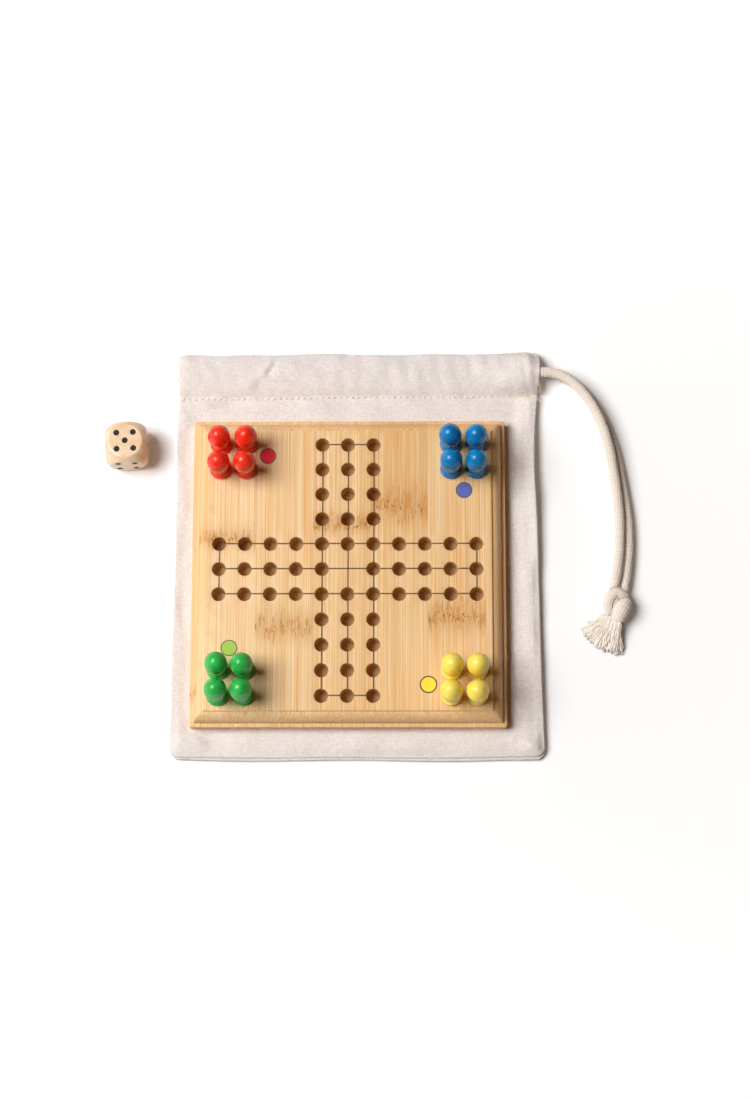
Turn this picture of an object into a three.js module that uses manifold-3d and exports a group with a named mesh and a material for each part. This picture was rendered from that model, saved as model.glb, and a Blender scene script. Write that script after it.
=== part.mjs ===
// Travel ludo set: a moulded bamboo peg board with sixteen pawns and a die, lying on its drawstring bag.
// Millimetres, +Z up. The origin lies on the table under the middle of the board, and +Y points to the bag's
// mouth.

import * as THREE from 'three';
import { mergeVertices } from 'three/addons/utils/BufferGeometryUtils.js';
import Module from 'manifold-3d';

const wasm = await Module();
wasm.setup();

// Board: a square slab with a moulded edge, drilled with a cross of track holes and four home corners.
const BOARD_SIDE = 120;
const BOARD_THICKNESS = 10;
const EDGE_LIP = 1.5;
const OVOLO_RUN = 4;
const OVOLO_DROP = 4.5;
const EDGE_STEP = 0.8;
const HOLE_PITCH = 9.8;
const HOLE_DIAMETER = 5.3;
const HOLE_FLOOR = 3;
const GRID_REACH = 5;
const TRACK_REACH = 1;
const HOME_REACH = 4;
const DRILLING_SHIFT = -0.22;

// Pawn: a turned peg, a round foot, a waist and an egg-shaped head.
const PEG_DIAMETER = 4.7;
const PEG_END_CLEARANCE = 0.5;
const FOOT_DIAMETER = 8;
const FOOT_RIM = 1.6;
const FOOT_CROWN = 0.7;
const WAIST_DIAMETER = 5;
const WAIST_HEIGHT = 4.2;
const HEAD_DIAMETER = 8.6;
const HEAD_BELLY = 7.6;
const HEAD_TOP = 5.6;

// Die: a cube whose corners are tumbled to a sphere.
const DIE_SIDE = 16;
const DIE_ROUNDING_RADIUS = 10.3;
const DIE_X = -85.9;
const DIE_Y = 49.9;
const DIE_TURN = 2.5;

// Bag: two cotton panels sewn round three sides, with a folded hem that makes the cord's channel.
const BAG_WIDTH = 141.5;
const BAG_LENGTH = 157.4;
const BAG_X = 3.3;
const BAG_Y = 9.1;
const BAG_CORNER = 5;
const FRONT_PANEL_SETBACK = 1.5;
const SEAM_ALLOWANCE = 6;
const CLOTH = 0.5;
const HEM_DEPTH = 17.2;
const HEM_STITCH_MARGIN = 1.5;
const CORD_FROM_STITCHING = 9.3;

// Drawcord: round where it lies free, pressed flat inside the hem.
const CORD_DIAMETER = 4;
const CORD_SIDES = 8;
const STRAND_STEPS = 38;
const CHANNEL_CORD_WIDTH = 5.2;
const CHANNEL_CORD_HEIGHT = 3;
const KNOT_WIDTH = 11.6;
const KNOT_LENGTH = 14.8;
const KNOT_HEIGHT = 9.2;
const KNOT_FACE_GAP = 12.4;
const KNOT_SHIFT = -0.7;
const TASSEL_LENGTH = 13;
const TASSEL_NECK_WIDTH = 6.6;
const TASSEL_NECK_HEIGHT = 6.4;
const TASSEL_END_WIDTH = 15;
const TASSEL_END_HEIGHT = 3.2;
const TASSEL_SHIFT = -2.2;
const TASSEL_TURN = -14;

// Clearances between pieces that touch.
const PLY_GAP = 0.2;
const SEAT_GAP = 0.3;
const CORD_GAP = 0.3;
const KNOT_GAP = 0.75;
const CUT_MARGIN = 1;

// Facets of the round shapes.
const HOLE_SIDES = 12;
const PAWN_SIDES = 12;
const PAWN_STEPS = 3;
const DIE_SIDES = 32;
const KNOT_SIDES = 16;
const ARC_STEPS = 5;

// Routes of the two free strands from the hem to the knot, chosen points in the part's frame. The front one
// leaves on top of the back one and then leans on its left side.
const FRONT_STRAND = [
  [74.35, 79.8, 6.8], [78, 79.7, 6.8], [81.5, 78.9, 6.75], [85, 77.1, 6.7], [88.2, 74.4, 6.6],
  [91, 71.2, 6.5], [93.5, 67.6, 6.45], [95.7, 63.6, 6.4], [97.7, 58.8, 6.3], [99.4, 53.4, 6.1],
  [100.8, 47.4, 5.9], [101.8, 41.2, 5.7], [102.7, 34.6, 5.5], [103.4, 28.2, 5.2], [103.85, 21.9, 4.95],
  [103.9, 15.5, 4.7], [103.6, 9, 4.6], [102.9, 2.8, 4.6], [102.2, -1.6, 4.7], [101.6, -4.35, 4.6],
];
const BACK_STRAND = [
  [74.35, 80.6, 2.2], [78, 80.6, 2.2], [81.8, 79.9, 2.15], [85.4, 78.2, 2.1], [88.8, 75.6, 2.1],
  [91.9, 72.5, 2.1], [94.7, 69, 2.1], [97.1, 65, 2.1], [99.3, 60.2, 2.1], [101.3, 54.6, 2.1],
  [103, 48.4, 2.1], [104.35, 41.9, 2.1], [105.5, 35, 2.1], [106.5, 28.3, 2.1], [107.2, 22, 2.1],
  [107.5, 15.5, 2.1], [107.35, 8.9, 2.1], [106.7, 2.6, 2.2], [106.1, -1.4, 2.4], [105.5, -4.35, 2.6],
];

// Heights of the layers, from the table up.
const sleeveEdge = 2 * CLOTH;
const sleeveCrown = CHANNEL_CORD_HEIGHT + 2 * PLY_GAP + 2 * CLOTH;
const frontPanelZ = sleeveEdge + PLY_GAP;
const boardZ = frontPanelZ + CLOTH + SEAT_GAP;
const hemHeight = 2 * sleeveCrown + PLY_GAP;

// Places along and across the bag, from its middle.
const bagLeft = -BAG_WIDTH / 2;
const bagRight = BAG_WIDTH / 2;
const bagBottom = -BAG_LENGTH / 2;
const hemBottom = BAG_LENGTH / 2 - HEM_DEPTH;
const channelY = hemBottom + CORD_FROM_STITCHING;
const turnRadius = (sleeveCrown + PLY_GAP) / 2;
const turnX = bagLeft + CLOTH + PLY_GAP + CHANNEL_CORD_HEIGHT / 2 + turnRadius;

const MATERIALS = {
  bamboo: { color: 0xe8c48c, roughness: 0.55, metalness: 0 },
  red: { color: 0xe8402c, roughness: 0.3, metalness: 0 },
  blue: { color: 0x0a6fae, roughness: 0.3, metalness: 0 },
  green: { color: 0x23a03e, roughness: 0.3, metalness: 0 },
  yellow: { color: 0xf0d842, roughness: 0.3, metalness: 0 },
  beech: { color: 0xe6bd84, roughness: 0.45, metalness: 0 },
  cotton: { color: 0xe9ddd4, roughness: 0.95, metalness: 0 },
  cord: { color: 0xe8dcc8, roughness: 0.95, metalness: 0 },
};

// A closed solid of a geometry: shared corners merged, collapsed triangles dropped.
function solid(geometry) {
  const bare = geometry.clone();
  bare.deleteAttribute('normal');
  bare.deleteAttribute('uv');
  const merged = mergeVertices(bare, 1e-3);
  const index = merged.index.array;
  const kept = [];
  for (let i = 0; i < index.length; i += 3) {
    const [a, b, c] = index.slice(i, i + 3);
    if (a !== b && b !== c && c !== a) kept.push(a, b, c);
  }
  const vertProperties = Float32Array.from(merged.attributes.position.array);
  return new wasm.Manifold(new wasm.Mesh({ numProp: 3, vertProperties, triVerts: Uint32Array.from(kept) }));
}

// A geometry of a solid.
function surface(body) {
  const { vertProperties, triVerts } = body.getMesh();
  const geometry = new THREE.BufferGeometry();
  geometry.setAttribute('position', new THREE.BufferAttribute(vertProperties, 3));
  geometry.setIndex(new THREE.BufferAttribute(triVerts, 1));
  geometry.computeVertexNormals();
  return geometry;
}

function piece(name, geometry, material) {
  const mesh = new THREE.Mesh(geometry, new THREE.MeshStandardMaterial(MATERIALS[material]));
  mesh.name = name;
  return mesh;
}

// A profile of (radius, height) points turned about the Z axis.
function turned(points, sides, start = 0) {
  return new THREE.LatheGeometry(points, sides, start).rotateX(Math.PI / 2);
}

// A flat outline in the XY plane raised by a height.
function raised(outline, height) {
  return new THREE.ExtrudeGeometry(outline, { depth: height, bevelEnabled: false, curveSegments: ARC_STEPS });
}

// A section in the YZ plane carried along X.
function carriedAlongX(section, length) {
  const axes = new THREE.Matrix4().makeBasis(
    new THREE.Vector3(0, 1, 0),
    new THREE.Vector3(0, 0, 1),
    new THREE.Vector3(1, 0, 0),
  );
  return raised(section, length).applyMatrix4(axes);
}

function outlineOf(points) {
  return new THREE.Shape(points.map(([x, y]) => new THREE.Vector2(x, y)));
}

// An ellipse with straight sides, inscribed in the given width and height.
function facetedEllipse(width, height, sides) {
  const corners = Array.from({ length: sides }, (_, i) => {
    const angle = (2 * Math.PI * (i + 0.5)) / sides;
    return [(width / 2) * Math.cos(angle), (height / 2) * Math.sin(angle)];
  });
  return outlineOf(corners);
}

// Middle of the hole in column c and row r of the drilling grid, which is a little off the board's middle.
function holePlace(c, r) {
  return [DRILLING_SHIFT + c * HOLE_PITCH, r * HOLE_PITCH];
}

// Columns and rows of every hole: the cross of tracks without its middle, and the four home corners.
function drilledPlaces() {
  const places = [];
  for (let c = -GRID_REACH; c <= GRID_REACH; c++) {
    for (let r = -GRID_REACH; r <= GRID_REACH; r++) {
      const track = Math.min(Math.abs(c), Math.abs(r)) <= TRACK_REACH && (c !== 0 || r !== 0);
      const home = Math.min(Math.abs(c), Math.abs(r)) >= HOME_REACH;
      if (track || home) places.push([c, r]);
    }
  }
  return places;
}

// The slab with its lip, quarter-round and step, mitred at the corners, less the blind holes.
function boardGeometry() {
  const half = BOARD_SIDE / 2;
  const shoulder = half - EDGE_LIP - OVOLO_RUN;
  const lipZ = BOARD_THICKNESS - EDGE_STEP - OVOLO_DROP;
  const edge = new THREE.Path();
  edge.moveTo(0, 0);
  edge.lineTo(half, 0);
  edge.lineTo(half, lipZ);
  edge.lineTo(half - EDGE_LIP, lipZ);
  edge.absellipse(shoulder, lipZ, OVOLO_RUN, OVOLO_DROP, 0, Math.PI / 2, false, 0);
  edge.lineTo(shoulder, BOARD_THICKNESS);
  edge.lineTo(0, BOARD_THICKNESS);
  const profile = edge.getPoints(ARC_STEPS).map((p) => new THREE.Vector2(p.x * Math.SQRT2, p.y));
  let slab = solid(turned(profile, 4, Math.PI / 4));
  const depth = BOARD_THICKNESS - HOLE_FLOOR + CUT_MARGIN;
  const drill = new THREE.CylinderGeometry(HOLE_DIAMETER / 2, HOLE_DIAMETER / 2, depth, HOLE_SIDES);
  drill.rotateX(Math.PI / 2).translate(0, 0, HOLE_FLOOR + depth / 2);
  for (const [c, r] of drilledPlaces()) {
    const [x, y] = holePlace(c, r);
    slab = slab.subtract(solid(drill.clone().translate(x, y, 0)));
  }
  return surface(slab);
}

// A turned pawn whose foot stands on z = 0, with its peg below.
function pawnGeometry() {
  const pegLength = BOARD_THICKNESS - HOLE_FLOOR + SEAT_GAP - PEG_END_CLEARANCE;
  const foot = FOOT_DIAMETER / 2;
  const waist = WAIST_DIAMETER / 2;
  const head = HEAD_DIAMETER / 2;
  const belly = WAIST_HEIGHT + HEAD_BELLY;
  const outline = new THREE.Path();
  outline.moveTo(0, -pegLength);
  outline.lineTo(PEG_DIAMETER / 2, -pegLength);
  outline.lineTo(PEG_DIAMETER / 2, 0);
  outline.lineTo(foot, 0);
  outline.lineTo(foot, FOOT_RIM);
  outline.quadraticCurveTo(foot, FOOT_RIM + FOOT_CROWN, waist, WAIST_HEIGHT);
  outline.bezierCurveTo(waist, belly - HEAD_BELLY / 2, head, belly - HEAD_BELLY / 2, head, belly);
  outline.absellipse(0, belly, head, HEAD_TOP, 0, Math.PI / 2, false, 0);
  const points = outline.getPoints(PAWN_STEPS);
  points[points.length - 1].x = 0;
  return surface(solid(turned(points, PAWN_SIDES)));
}

// The cube and the sphere that rounds its corners, standing on z = 0.
function dieGeometry() {
  const cube = new THREE.BoxGeometry(DIE_SIDE, DIE_SIDE, DIE_SIDE);
  const ball = new THREE.SphereGeometry(DIE_ROUNDING_RADIUS, DIE_SIDES, DIE_SIDES / 2).rotateX(Math.PI / 2);
  return surface(solid(cube).intersect(solid(ball))).translate(0, 0, DIE_SIDE / 2);
}

// A panel's outline from its lower edge up to the stitching, round at the two lower corners.
function panelOutline(bottom) {
  const top = hemBottom - PLY_GAP;
  const outline = new THREE.Shape();
  outline.moveTo(bagRight, top);
  outline.lineTo(bagLeft, top);
  outline.lineTo(bagLeft, bottom + BAG_CORNER);
  outline.absarc(bagLeft + BAG_CORNER, bottom + BAG_CORNER, BAG_CORNER, Math.PI, 1.5 * Math.PI, false);
  outline.lineTo(bagRight - BAG_CORNER, bottom);
  outline.absarc(bagRight - BAG_CORNER, bottom + BAG_CORNER, BAG_CORNER, 1.5 * Math.PI, 2 * Math.PI, false);
  return outline;
}

// The turned-in seam allowance: a strip along both sides and the bottom, between the panels.
function seamOutline() {
  const top = hemBottom - PLY_GAP;
  const bottom = bagBottom + FRONT_PANEL_SETBACK;
  const inset = BAG_CORNER;
  return outlineOf([
    [bagLeft, top], [bagLeft, bottom + inset], [bagLeft + inset, bottom],
    [bagRight - inset, bottom], [bagRight, bottom + inset], [bagRight, top],
    [bagRight - SEAM_ALLOWANCE, top], [bagRight - SEAM_ALLOWANCE, bottom + SEAM_ALLOWANCE],
    [bagLeft + SEAM_ALLOWANCE, bottom + SEAM_ALLOWANCE], [bagLeft + SEAM_ALLOWANCE, top],
  ]);
}

// Section of one hem sleeve: two plies at its edges, bulging over the cord.
function sleeveSection(edgeZ, crownZ) {
  const near = hemBottom;
  const far = hemBottom + HEM_DEPTH;
  const crownHalf = CHANNEL_CORD_WIDTH / 2 + PLY_GAP + CLOTH;
  const crown = [channelY - crownHalf, channelY + crownHalf];
  const flat = [near + HEM_STITCH_MARGIN, far - HEM_STITCH_MARGIN];
  const outer = outlineOf([
    [near, edgeZ], [flat[0], edgeZ], [crown[0], crownZ], [crown[1], crownZ], [flat[1], edgeZ], [far, edgeZ],
    [far, edgeZ + sleeveEdge], [flat[1], edgeZ + sleeveEdge],
    [crown[1], crownZ + sleeveCrown], [crown[0], crownZ + sleeveCrown],
    [flat[0], edgeZ + sleeveEdge], [near, edgeZ + sleeveEdge],
  ]);
  const channelTop = crownZ + sleeveCrown - CLOTH;
  const channel = outlineOf([
    [flat[0], edgeZ + CLOTH], [crown[0], crownZ + CLOTH], [crown[1], crownZ + CLOTH],
    [flat[1], edgeZ + CLOTH], [crown[1], channelTop], [crown[0], channelTop],
  ]);
  return { outer, channel };
}

// One sleeve: open at the right where the cord leaves, shut by the fold at the left, and cut through to the
// other sleeve where the cord turns round inside that fold.
function sleeveGeometry(edgeZ, crownZ) {
  const { outer, channel } = sleeveSection(edgeZ, crownZ);
  const cloth = carriedAlongX(outer, BAG_WIDTH).translate(bagLeft, 0, 0);
  const bore = carriedAlongX(channel, BAG_WIDTH).translate(bagLeft + CLOTH, 0, 0);
  const pocketLength = turnX - bagLeft - CLOTH;
  const pocket = new THREE.BoxGeometry(pocketLength, CHANNEL_CORD_WIDTH + 2 * PLY_GAP, hemHeight - 2 * CLOTH);
  pocket.translate(bagLeft + CLOTH + pocketLength / 2, channelY, hemHeight / 2);
  return surface(solid(cloth).subtract(solid(bore)).subtract(solid(pocket)));
}

// The pressed cord inside one sleeve.
function channelRunGeometry(crownZ) {
  const section = facetedEllipse(CHANNEL_CORD_WIDTH, CHANNEL_CORD_HEIGHT, CORD_SIDES);
  const start = turnX + CORD_GAP;
  const run = carriedAlongX(section, bagRight - start);
  return run.translate(start, channelY, crownZ + sleeveCrown / 2);
}

// The half turn that joins the two runs at the left side of the mouth.
class HalfTurn extends THREE.Curve {
  constructor(radius) {
    super();
    this.radius = radius;
  }

  getPoint(t, target = new THREE.Vector3()) {
    const angle = Math.PI * (0.5 + t);
    return target.set(this.radius * Math.cos(angle), 0, this.radius * Math.sin(angle));
  }
}

function leftTurnGeometry() {
  const section = facetedEllipse(CHANNEL_CORD_WIDTH, CHANNEL_CORD_HEIGHT, CORD_SIDES);
  const bend = { extrudePath: new HalfTurn(turnRadius), steps: 2 * ARC_STEPS, bevelEnabled: false };
  const turn = new THREE.ExtrudeGeometry(section, bend);
  return turn.translate(turnX, channelY, hemHeight / 2);
}

// A free strand of cord along its chosen points.
function strandGeometry(points) {
  const route = new THREE.CatmullRomCurve3(points.map((p) => new THREE.Vector3(...p)));
  const section = facetedEllipse(CORD_DIAMETER, CORD_DIAMETER, CORD_SIDES);
  return new THREE.ExtrudeGeometry(section, { extrudePath: route, steps: STRAND_STEPS, bevelEnabled: false });
}

// Where the strands run into the knot.
function strandsEnd() {
  const [a, b] = [FRONT_STRAND.at(-1), BACK_STRAND.at(-1)];
  return [(a[0] + b[0]) / 2 + KNOT_SHIFT, Math.min(a[1], b[1]) - KNOT_GAP];
}

// The overhand knot's bulk, flat where the strands enter and where the tassel leaves.
function knotGeometry() {
  const [x, y] = strandsEnd();
  const ball = new THREE.SphereGeometry(0.5, KNOT_SIDES, KNOT_SIDES / 2).rotateX(Math.PI / 2);
  ball.scale(KNOT_WIDTH, KNOT_LENGTH, KNOT_HEIGHT).translate(x, y - KNOT_FACE_GAP / 2, KNOT_HEIGHT / 2);
  const slab = new THREE.BoxGeometry(2 * KNOT_WIDTH, KNOT_FACE_GAP, 3 * KNOT_HEIGHT);
  slab.translate(x, y - KNOT_FACE_GAP / 2, KNOT_HEIGHT / 2);
  return surface(solid(ball).intersect(solid(slab)));
}

// The frayed ends: a fan that widens and thins from the knot, lying on the table.
function tasselGeometry() {
  const neck = TASSEL_NECK_WIDTH / 2;
  const end = TASSEL_END_WIDTH / 2;
  const fan = new THREE.Shape();
  fan.moveTo(neck, 0);
  fan.lineTo(-neck, 0);
  fan.lineTo(-end, -TASSEL_LENGTH + end / 2);
  fan.quadraticCurveTo(0, -TASSEL_LENGTH - end / 2, end, -TASSEL_LENGTH + end / 2);
  const reach = TASSEL_LENGTH + TASSEL_END_WIDTH;
  const taper = (TASSEL_NECK_HEIGHT - TASSEL_END_HEIGHT) / TASSEL_LENGTH;
  const side = outlineOf([
    [CUT_MARGIN, 0], [-reach, 0], [-reach, TASSEL_NECK_HEIGHT - taper * TASSEL_LENGTH],
    [-TASSEL_LENGTH, TASSEL_END_HEIGHT], [0, TASSEL_NECK_HEIGHT], [CUT_MARGIN, TASSEL_NECK_HEIGHT],
  ]);
  const wedge = carriedAlongX(side, 2 * TASSEL_END_WIDTH).translate(-TASSEL_END_WIDTH, 0, 0);
  const plan = raised(fan, 2 * TASSEL_NECK_HEIGHT).translate(0, 0, -TASSEL_NECK_HEIGHT / 2);
  return surface(solid(plan).intersect(solid(wedge)));
}

function bag() {
  const group = new THREE.Group();
  group.position.set(BAG_X, BAG_Y, 0);
  const panels = [
    ['bag_back_panel', panelOutline(bagBottom), 0],
    ['bag_seam_allowance', seamOutline(), CLOTH + PLY_GAP / 2],
    ['bag_front_panel', panelOutline(bagBottom + FRONT_PANEL_SETBACK), frontPanelZ],
  ];
  for (const [name, outline, z] of panels) {
    group.add(piece(name, raised(outline, CLOTH).translate(0, 0, z), 'cotton'));
  }
  const sleeves = [
    ['back', 0, 0],
    ['front', frontPanelZ, sleeveCrown + PLY_GAP],
  ];
  for (const [side, edgeZ, crownZ] of sleeves) {
    group.add(piece(`bag_${side}_hem`, sleeveGeometry(edgeZ, crownZ), 'cotton'));
    group.add(piece(`drawcord_${side}_run`, channelRunGeometry(crownZ), 'cord'));
  }
  group.add(piece('drawcord_left_turn', leftTurnGeometry(), 'cord'));
  return group;
}

function freeCord() {
  const group = new THREE.Group();
  group.add(piece('drawcord_front_strand', strandGeometry(FRONT_STRAND), 'cord'));
  group.add(piece('drawcord_back_strand', strandGeometry(BACK_STRAND), 'cord'));
  group.add(piece('drawcord_knot', knotGeometry(), 'cord'));
  const [x, y] = strandsEnd();
  const tassel = piece('drawcord_tassel', tasselGeometry(), 'cord');
  const lowestTurn = Math.abs(Math.sin(THREE.MathUtils.degToRad(TASSEL_TURN))) * (TASSEL_NECK_WIDTH / 2);
  tassel.position.set(x + TASSEL_SHIFT, y - KNOT_FACE_GAP - CORD_GAP - lowestTurn, 0);
  tassel.rotation.z = THREE.MathUtils.degToRad(TASSEL_TURN);
  group.add(tassel);
  return group;
}

function boardWithPawns() {
  const group = new THREE.Group();
  group.position.set(0, 0, boardZ);
  group.add(piece('board', boardGeometry(), 'bamboo'));
  const teams = [['red', -1, 1], ['blue', 1, 1], ['green', -1, -1], ['yellow', 1, -1]];
  const home = drilledPlaces().filter(([c, r]) => Math.min(c, r) >= HOME_REACH);
  for (const [colour, sideX, sideY] of teams) {
    home.forEach(([c, r], i) => {
      const pawn = piece(`pawn_${colour}_${i + 1}`, pawnGeometry(), colour);
      const [x, y] = holePlace(sideX * c, sideY * r);
      pawn.position.set(x, y, BOARD_THICKNESS + SEAT_GAP);
      group.add(pawn);
    });
  }
  return group;
}

function die() {
  const mesh = piece('die', dieGeometry(), 'beech');
  mesh.position.set(DIE_X, DIE_Y, 0);
  mesh.rotation.z = THREE.MathUtils.degToRad(DIE_TURN);
  return mesh;
}

const ludoSet = new THREE.Group();
ludoSet.add(bag(), freeCord(), boardWithPawns(), die());

export default ludoSet;
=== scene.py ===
# Travel ludo set: a moulded bamboo peg board with sixteen painted pawns and a wooden die, lying on the
# cotton drawstring bag that it is packed in. Metres, +Z up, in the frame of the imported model.

import bmesh
import bpy
import numpy as np
from mathutils import Matrix, Vector


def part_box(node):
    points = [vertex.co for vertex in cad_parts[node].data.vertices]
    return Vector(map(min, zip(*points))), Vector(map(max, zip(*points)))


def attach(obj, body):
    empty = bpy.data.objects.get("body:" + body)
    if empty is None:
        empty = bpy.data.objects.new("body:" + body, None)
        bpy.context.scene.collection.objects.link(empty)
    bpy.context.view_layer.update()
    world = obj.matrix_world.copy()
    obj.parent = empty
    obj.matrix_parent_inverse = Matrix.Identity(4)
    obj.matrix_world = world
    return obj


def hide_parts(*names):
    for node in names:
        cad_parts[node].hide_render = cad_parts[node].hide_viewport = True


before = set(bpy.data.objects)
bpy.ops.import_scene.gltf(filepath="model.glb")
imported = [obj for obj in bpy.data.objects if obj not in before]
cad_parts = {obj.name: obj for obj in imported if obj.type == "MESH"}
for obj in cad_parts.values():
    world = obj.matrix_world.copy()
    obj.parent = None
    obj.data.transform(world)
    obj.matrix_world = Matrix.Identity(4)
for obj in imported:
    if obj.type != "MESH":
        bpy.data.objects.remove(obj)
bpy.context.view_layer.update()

# Camera: a long lens high in front of the set, looking steeply down with a slight roll. Its place, turns
# and lens give the photograph's view of the board's four corners.
mm = 0.001
elevation, azimuth, roll = np.radians([76.136, 3.424, -3.408])
camera_place = np.array([24.290, -229.414, 973.098]) * mm
focal_pixels = 2600
image_height = 1100
sensor = 36

back = np.array([
    np.sin(azimuth) * np.cos(elevation), -np.cos(azimuth) * np.cos(elevation), np.sin(elevation),
])
level = np.array([np.cos(azimuth), np.sin(azimuth), 0])
above = np.cross(back, level)
sideways = np.cos(roll) * level + np.sin(roll) * above
upwards = np.cos(roll) * above - np.sin(roll) * level
camera = bpy.data.objects.new("camera", bpy.data.cameras.new("camera"))
camera.data.sensor_width = sensor
camera.data.lens = focal_pixels / image_height * sensor
turns = Matrix(np.stack([sideways, upwards, back], axis=1).tolist())
camera.matrix_world = Matrix.Translation(camera_place) @ turns.to_4x4()
bpy.context.collection.objects.link(camera)
bpy.context.scene.camera = camera


# Table and light: a white table top, a soft lamp up on the left, a wide warm panel behind it, and a dim
# surround that is warmer on the right. Together they light a level surface so that its colour renders as
# written.
table_half = 12.0
table_white = (0.86, 0.86, 0.86, 1)
seen_white = (1.0, 1.0, 1.0, 1)
table_glow = (0.02, 0.95)
table_glow_reach = (0.06, 1.0)
glow_tint = (1.0, 0.98, 0.96, 1)
surround_left = (0.055, 0.045, 0.036, 1)
surround_right = (0.090, 0.045, 0.014, 1)
lamps = {
    "soft_lamp": (np.array([-0.64, 0.05, 1.0]), 1.5, 1.0, 0.89, (0.955, 0.975, 1.0)),
    "wide_panel": (np.array([-1.0, 0.1, 0.8]), 2.2, 2.6, 0.10, (1.0, 0.84, 0.68)),
}


class Finish:
    """One material's nodes. What feeds a socket is a number, a colour, or the output of another node."""

    def __init__(self, name, shader_inputs):
        self.material = bpy.data.materials.new(name)
        self.material.use_nodes = True
        self.tree = self.material.node_tree
        self.shader = self.tree.nodes["Principled BSDF"]
        self.feed(self.shader, shader_inputs)

    def feed(self, node, inputs):
        for socket, value in inputs.items():
            if isinstance(value, bpy.types.NodeSocket):
                self.tree.links.new(value, node.inputs[socket])
            else:
                node.inputs[socket].default_value = value

    def finish(self, **inputs):
        self.feed(self.shader, {socket.replace("_", " "): value for socket, value in inputs.items()})

    def node(self, kind, inputs=None, output=0, **settings):
        node = self.tree.nodes.new("ShaderNode" + kind)
        for setting, value in settings.items():
            setattr(node, setting, value)
        self.feed(node, inputs or {})
        return node.outputs[output]

    def math(self, operation, first, second=0.0):
        return self.node("Math", {0: first, 1: second}, operation=operation)

    def rise(self, value, low, high, to_low=0.0, to_high=1.0):
        """Smooth step of a value between low and high."""
        inputs = {0: value, 1: low, 2: high, 3: to_low, 4: to_high}
        return self.node("MapRange", inputs, interpolation_type="SMOOTHSTEP")

    def mix(self, share, first, second, blend="MIX"):
        inputs = {0: share, 6: first, 7: second}
        return self.node("Mix", inputs, output=2, data_type="RGBA", blend_type=blend)

    def place(self):
        return self.node("TexCoord", output="Object")

    def stretched(self, coordinates, scale):
        return self.node("Mapping", {"Vector": coordinates, "Scale": scale})

    def noise(self, coordinates, scale, detail=2.0, roughness=0.5):
        inputs = {"Vector": coordinates, "Scale": scale, "Detail": detail, "Roughness": roughness}
        return self.node("TexNoise", inputs)

    def bump(self, height, distance, under=None):
        inputs = {"Height": height, "Distance": distance, "Strength": 1.0}
        if under is not None:
            inputs["Normal"] = under
        return self.node("Bump", inputs)


def shade(code):
    """Linear colour of a screen colour written as rrggbb."""
    screen = np.array([int(code[i:i + 2], 16) for i in (0, 2, 4)]) / 255
    linear = np.where(screen > 0.04045, ((screen + 0.055) / 1.055) ** 2.4, screen / 12.92)
    return (*linear.tolist(), 1.0)


def seen_rays(tree):
    """1 on rays that show a surface to the camera, straight or by way of gloss or glass."""
    rays = tree.nodes.new("ShaderNodeLightPath")
    seen = rays.outputs["Is Camera Ray"]
    for kind in ("Is Glossy Ray", "Is Transmission Ray"):
        either = tree.nodes.new("ShaderNodeMath")
        either.operation = "MAXIMUM"
        tree.links.new(seen, either.inputs[0])
        tree.links.new(rays.outputs[kind], either.inputs[1])
        seen = either.outputs[0]
    return seen


table_shader = {"Roughness": 1.0, "Specular IOR Level": 0.0, "Emission Color": glow_tint}
table_finish = Finish("white_table", table_shader)
table_seen = seen_rays(table_finish.tree)
from_middle = table_finish.node("VectorMath", {0: table_finish.place()}, output="Value", operation="LENGTH")
glow = table_finish.node("MapRange", dict(enumerate([from_middle, *table_glow_reach, *table_glow])))
table_finish.finish(
    Base_Color=table_finish.mix(table_seen, table_white, seen_white),
    Emission_Strength=table_finish.math("MULTIPLY", table_seen, glow),
)
table_corners = [(-table_half, -table_half, 0), (table_half, -table_half, 0)]
table_corners += [(table_half, table_half, 0), (-table_half, table_half, 0)]
table_mesh = bpy.data.meshes.new("table_top")
table_mesh.from_pydata(table_corners, [], [(0, 1, 2, 3)])
table_mesh.materials.append(table_finish.material)
table_top = bpy.data.objects.new("table_top", table_mesh)
bpy.context.collection.objects.link(table_top)

for name, (direction, distance, width, level_share, tint) in lamps.items():
    direction = direction / np.linalg.norm(direction)
    lamp = bpy.data.objects.new(name, bpy.data.lights.new(name, "AREA"))
    lamp.data.shape = "DISK"
    lamp.data.size = width
    lamp.data.color = tint
    lamp.data.energy = level_share * np.pi**2 * (distance**2 + width**2 / 4) / direction[2]
    lamp.location = direction * distance
    lamp.rotation_mode = "QUATERNION"
    lamp.rotation_quaternion = Vector(direction).to_track_quat("Z", "Y")
    bpy.context.collection.objects.link(lamp)

surround = bpy.data.worlds.new("surround")
surround.use_nodes = True
bpy.context.scene.world = surround
sky = surround.node_tree
sky_direction = sky.nodes.new("ShaderNodeTexCoord")
sky_rightward = sky.nodes.new("ShaderNodeSeparateXYZ")
sky_warmth = sky.nodes.new("ShaderNodeMapRange")
sky_warmth.interpolation_type = "SMOOTHSTEP"
sky_warmth.inputs["From Min"].default_value = -1.0
sky_colour = sky.nodes.new("ShaderNodeMix")
sky_colour.data_type = "RGBA"
sky_colour.inputs[6].default_value = surround_left
sky_colour.inputs[7].default_value = surround_right
sky.links.new(sky_direction.outputs["Generated"], sky_rightward.inputs[0])
sky.links.new(sky_rightward.outputs["X"], sky_warmth.inputs["Value"])
sky.links.new(sky_warmth.outputs["Result"], sky_colour.inputs[0])
sky.links.new(sky_colour.outputs[2], sky.nodes["Background"].inputs["Color"])
bpy.context.scene.view_settings.view_transform = "Standard"


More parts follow.
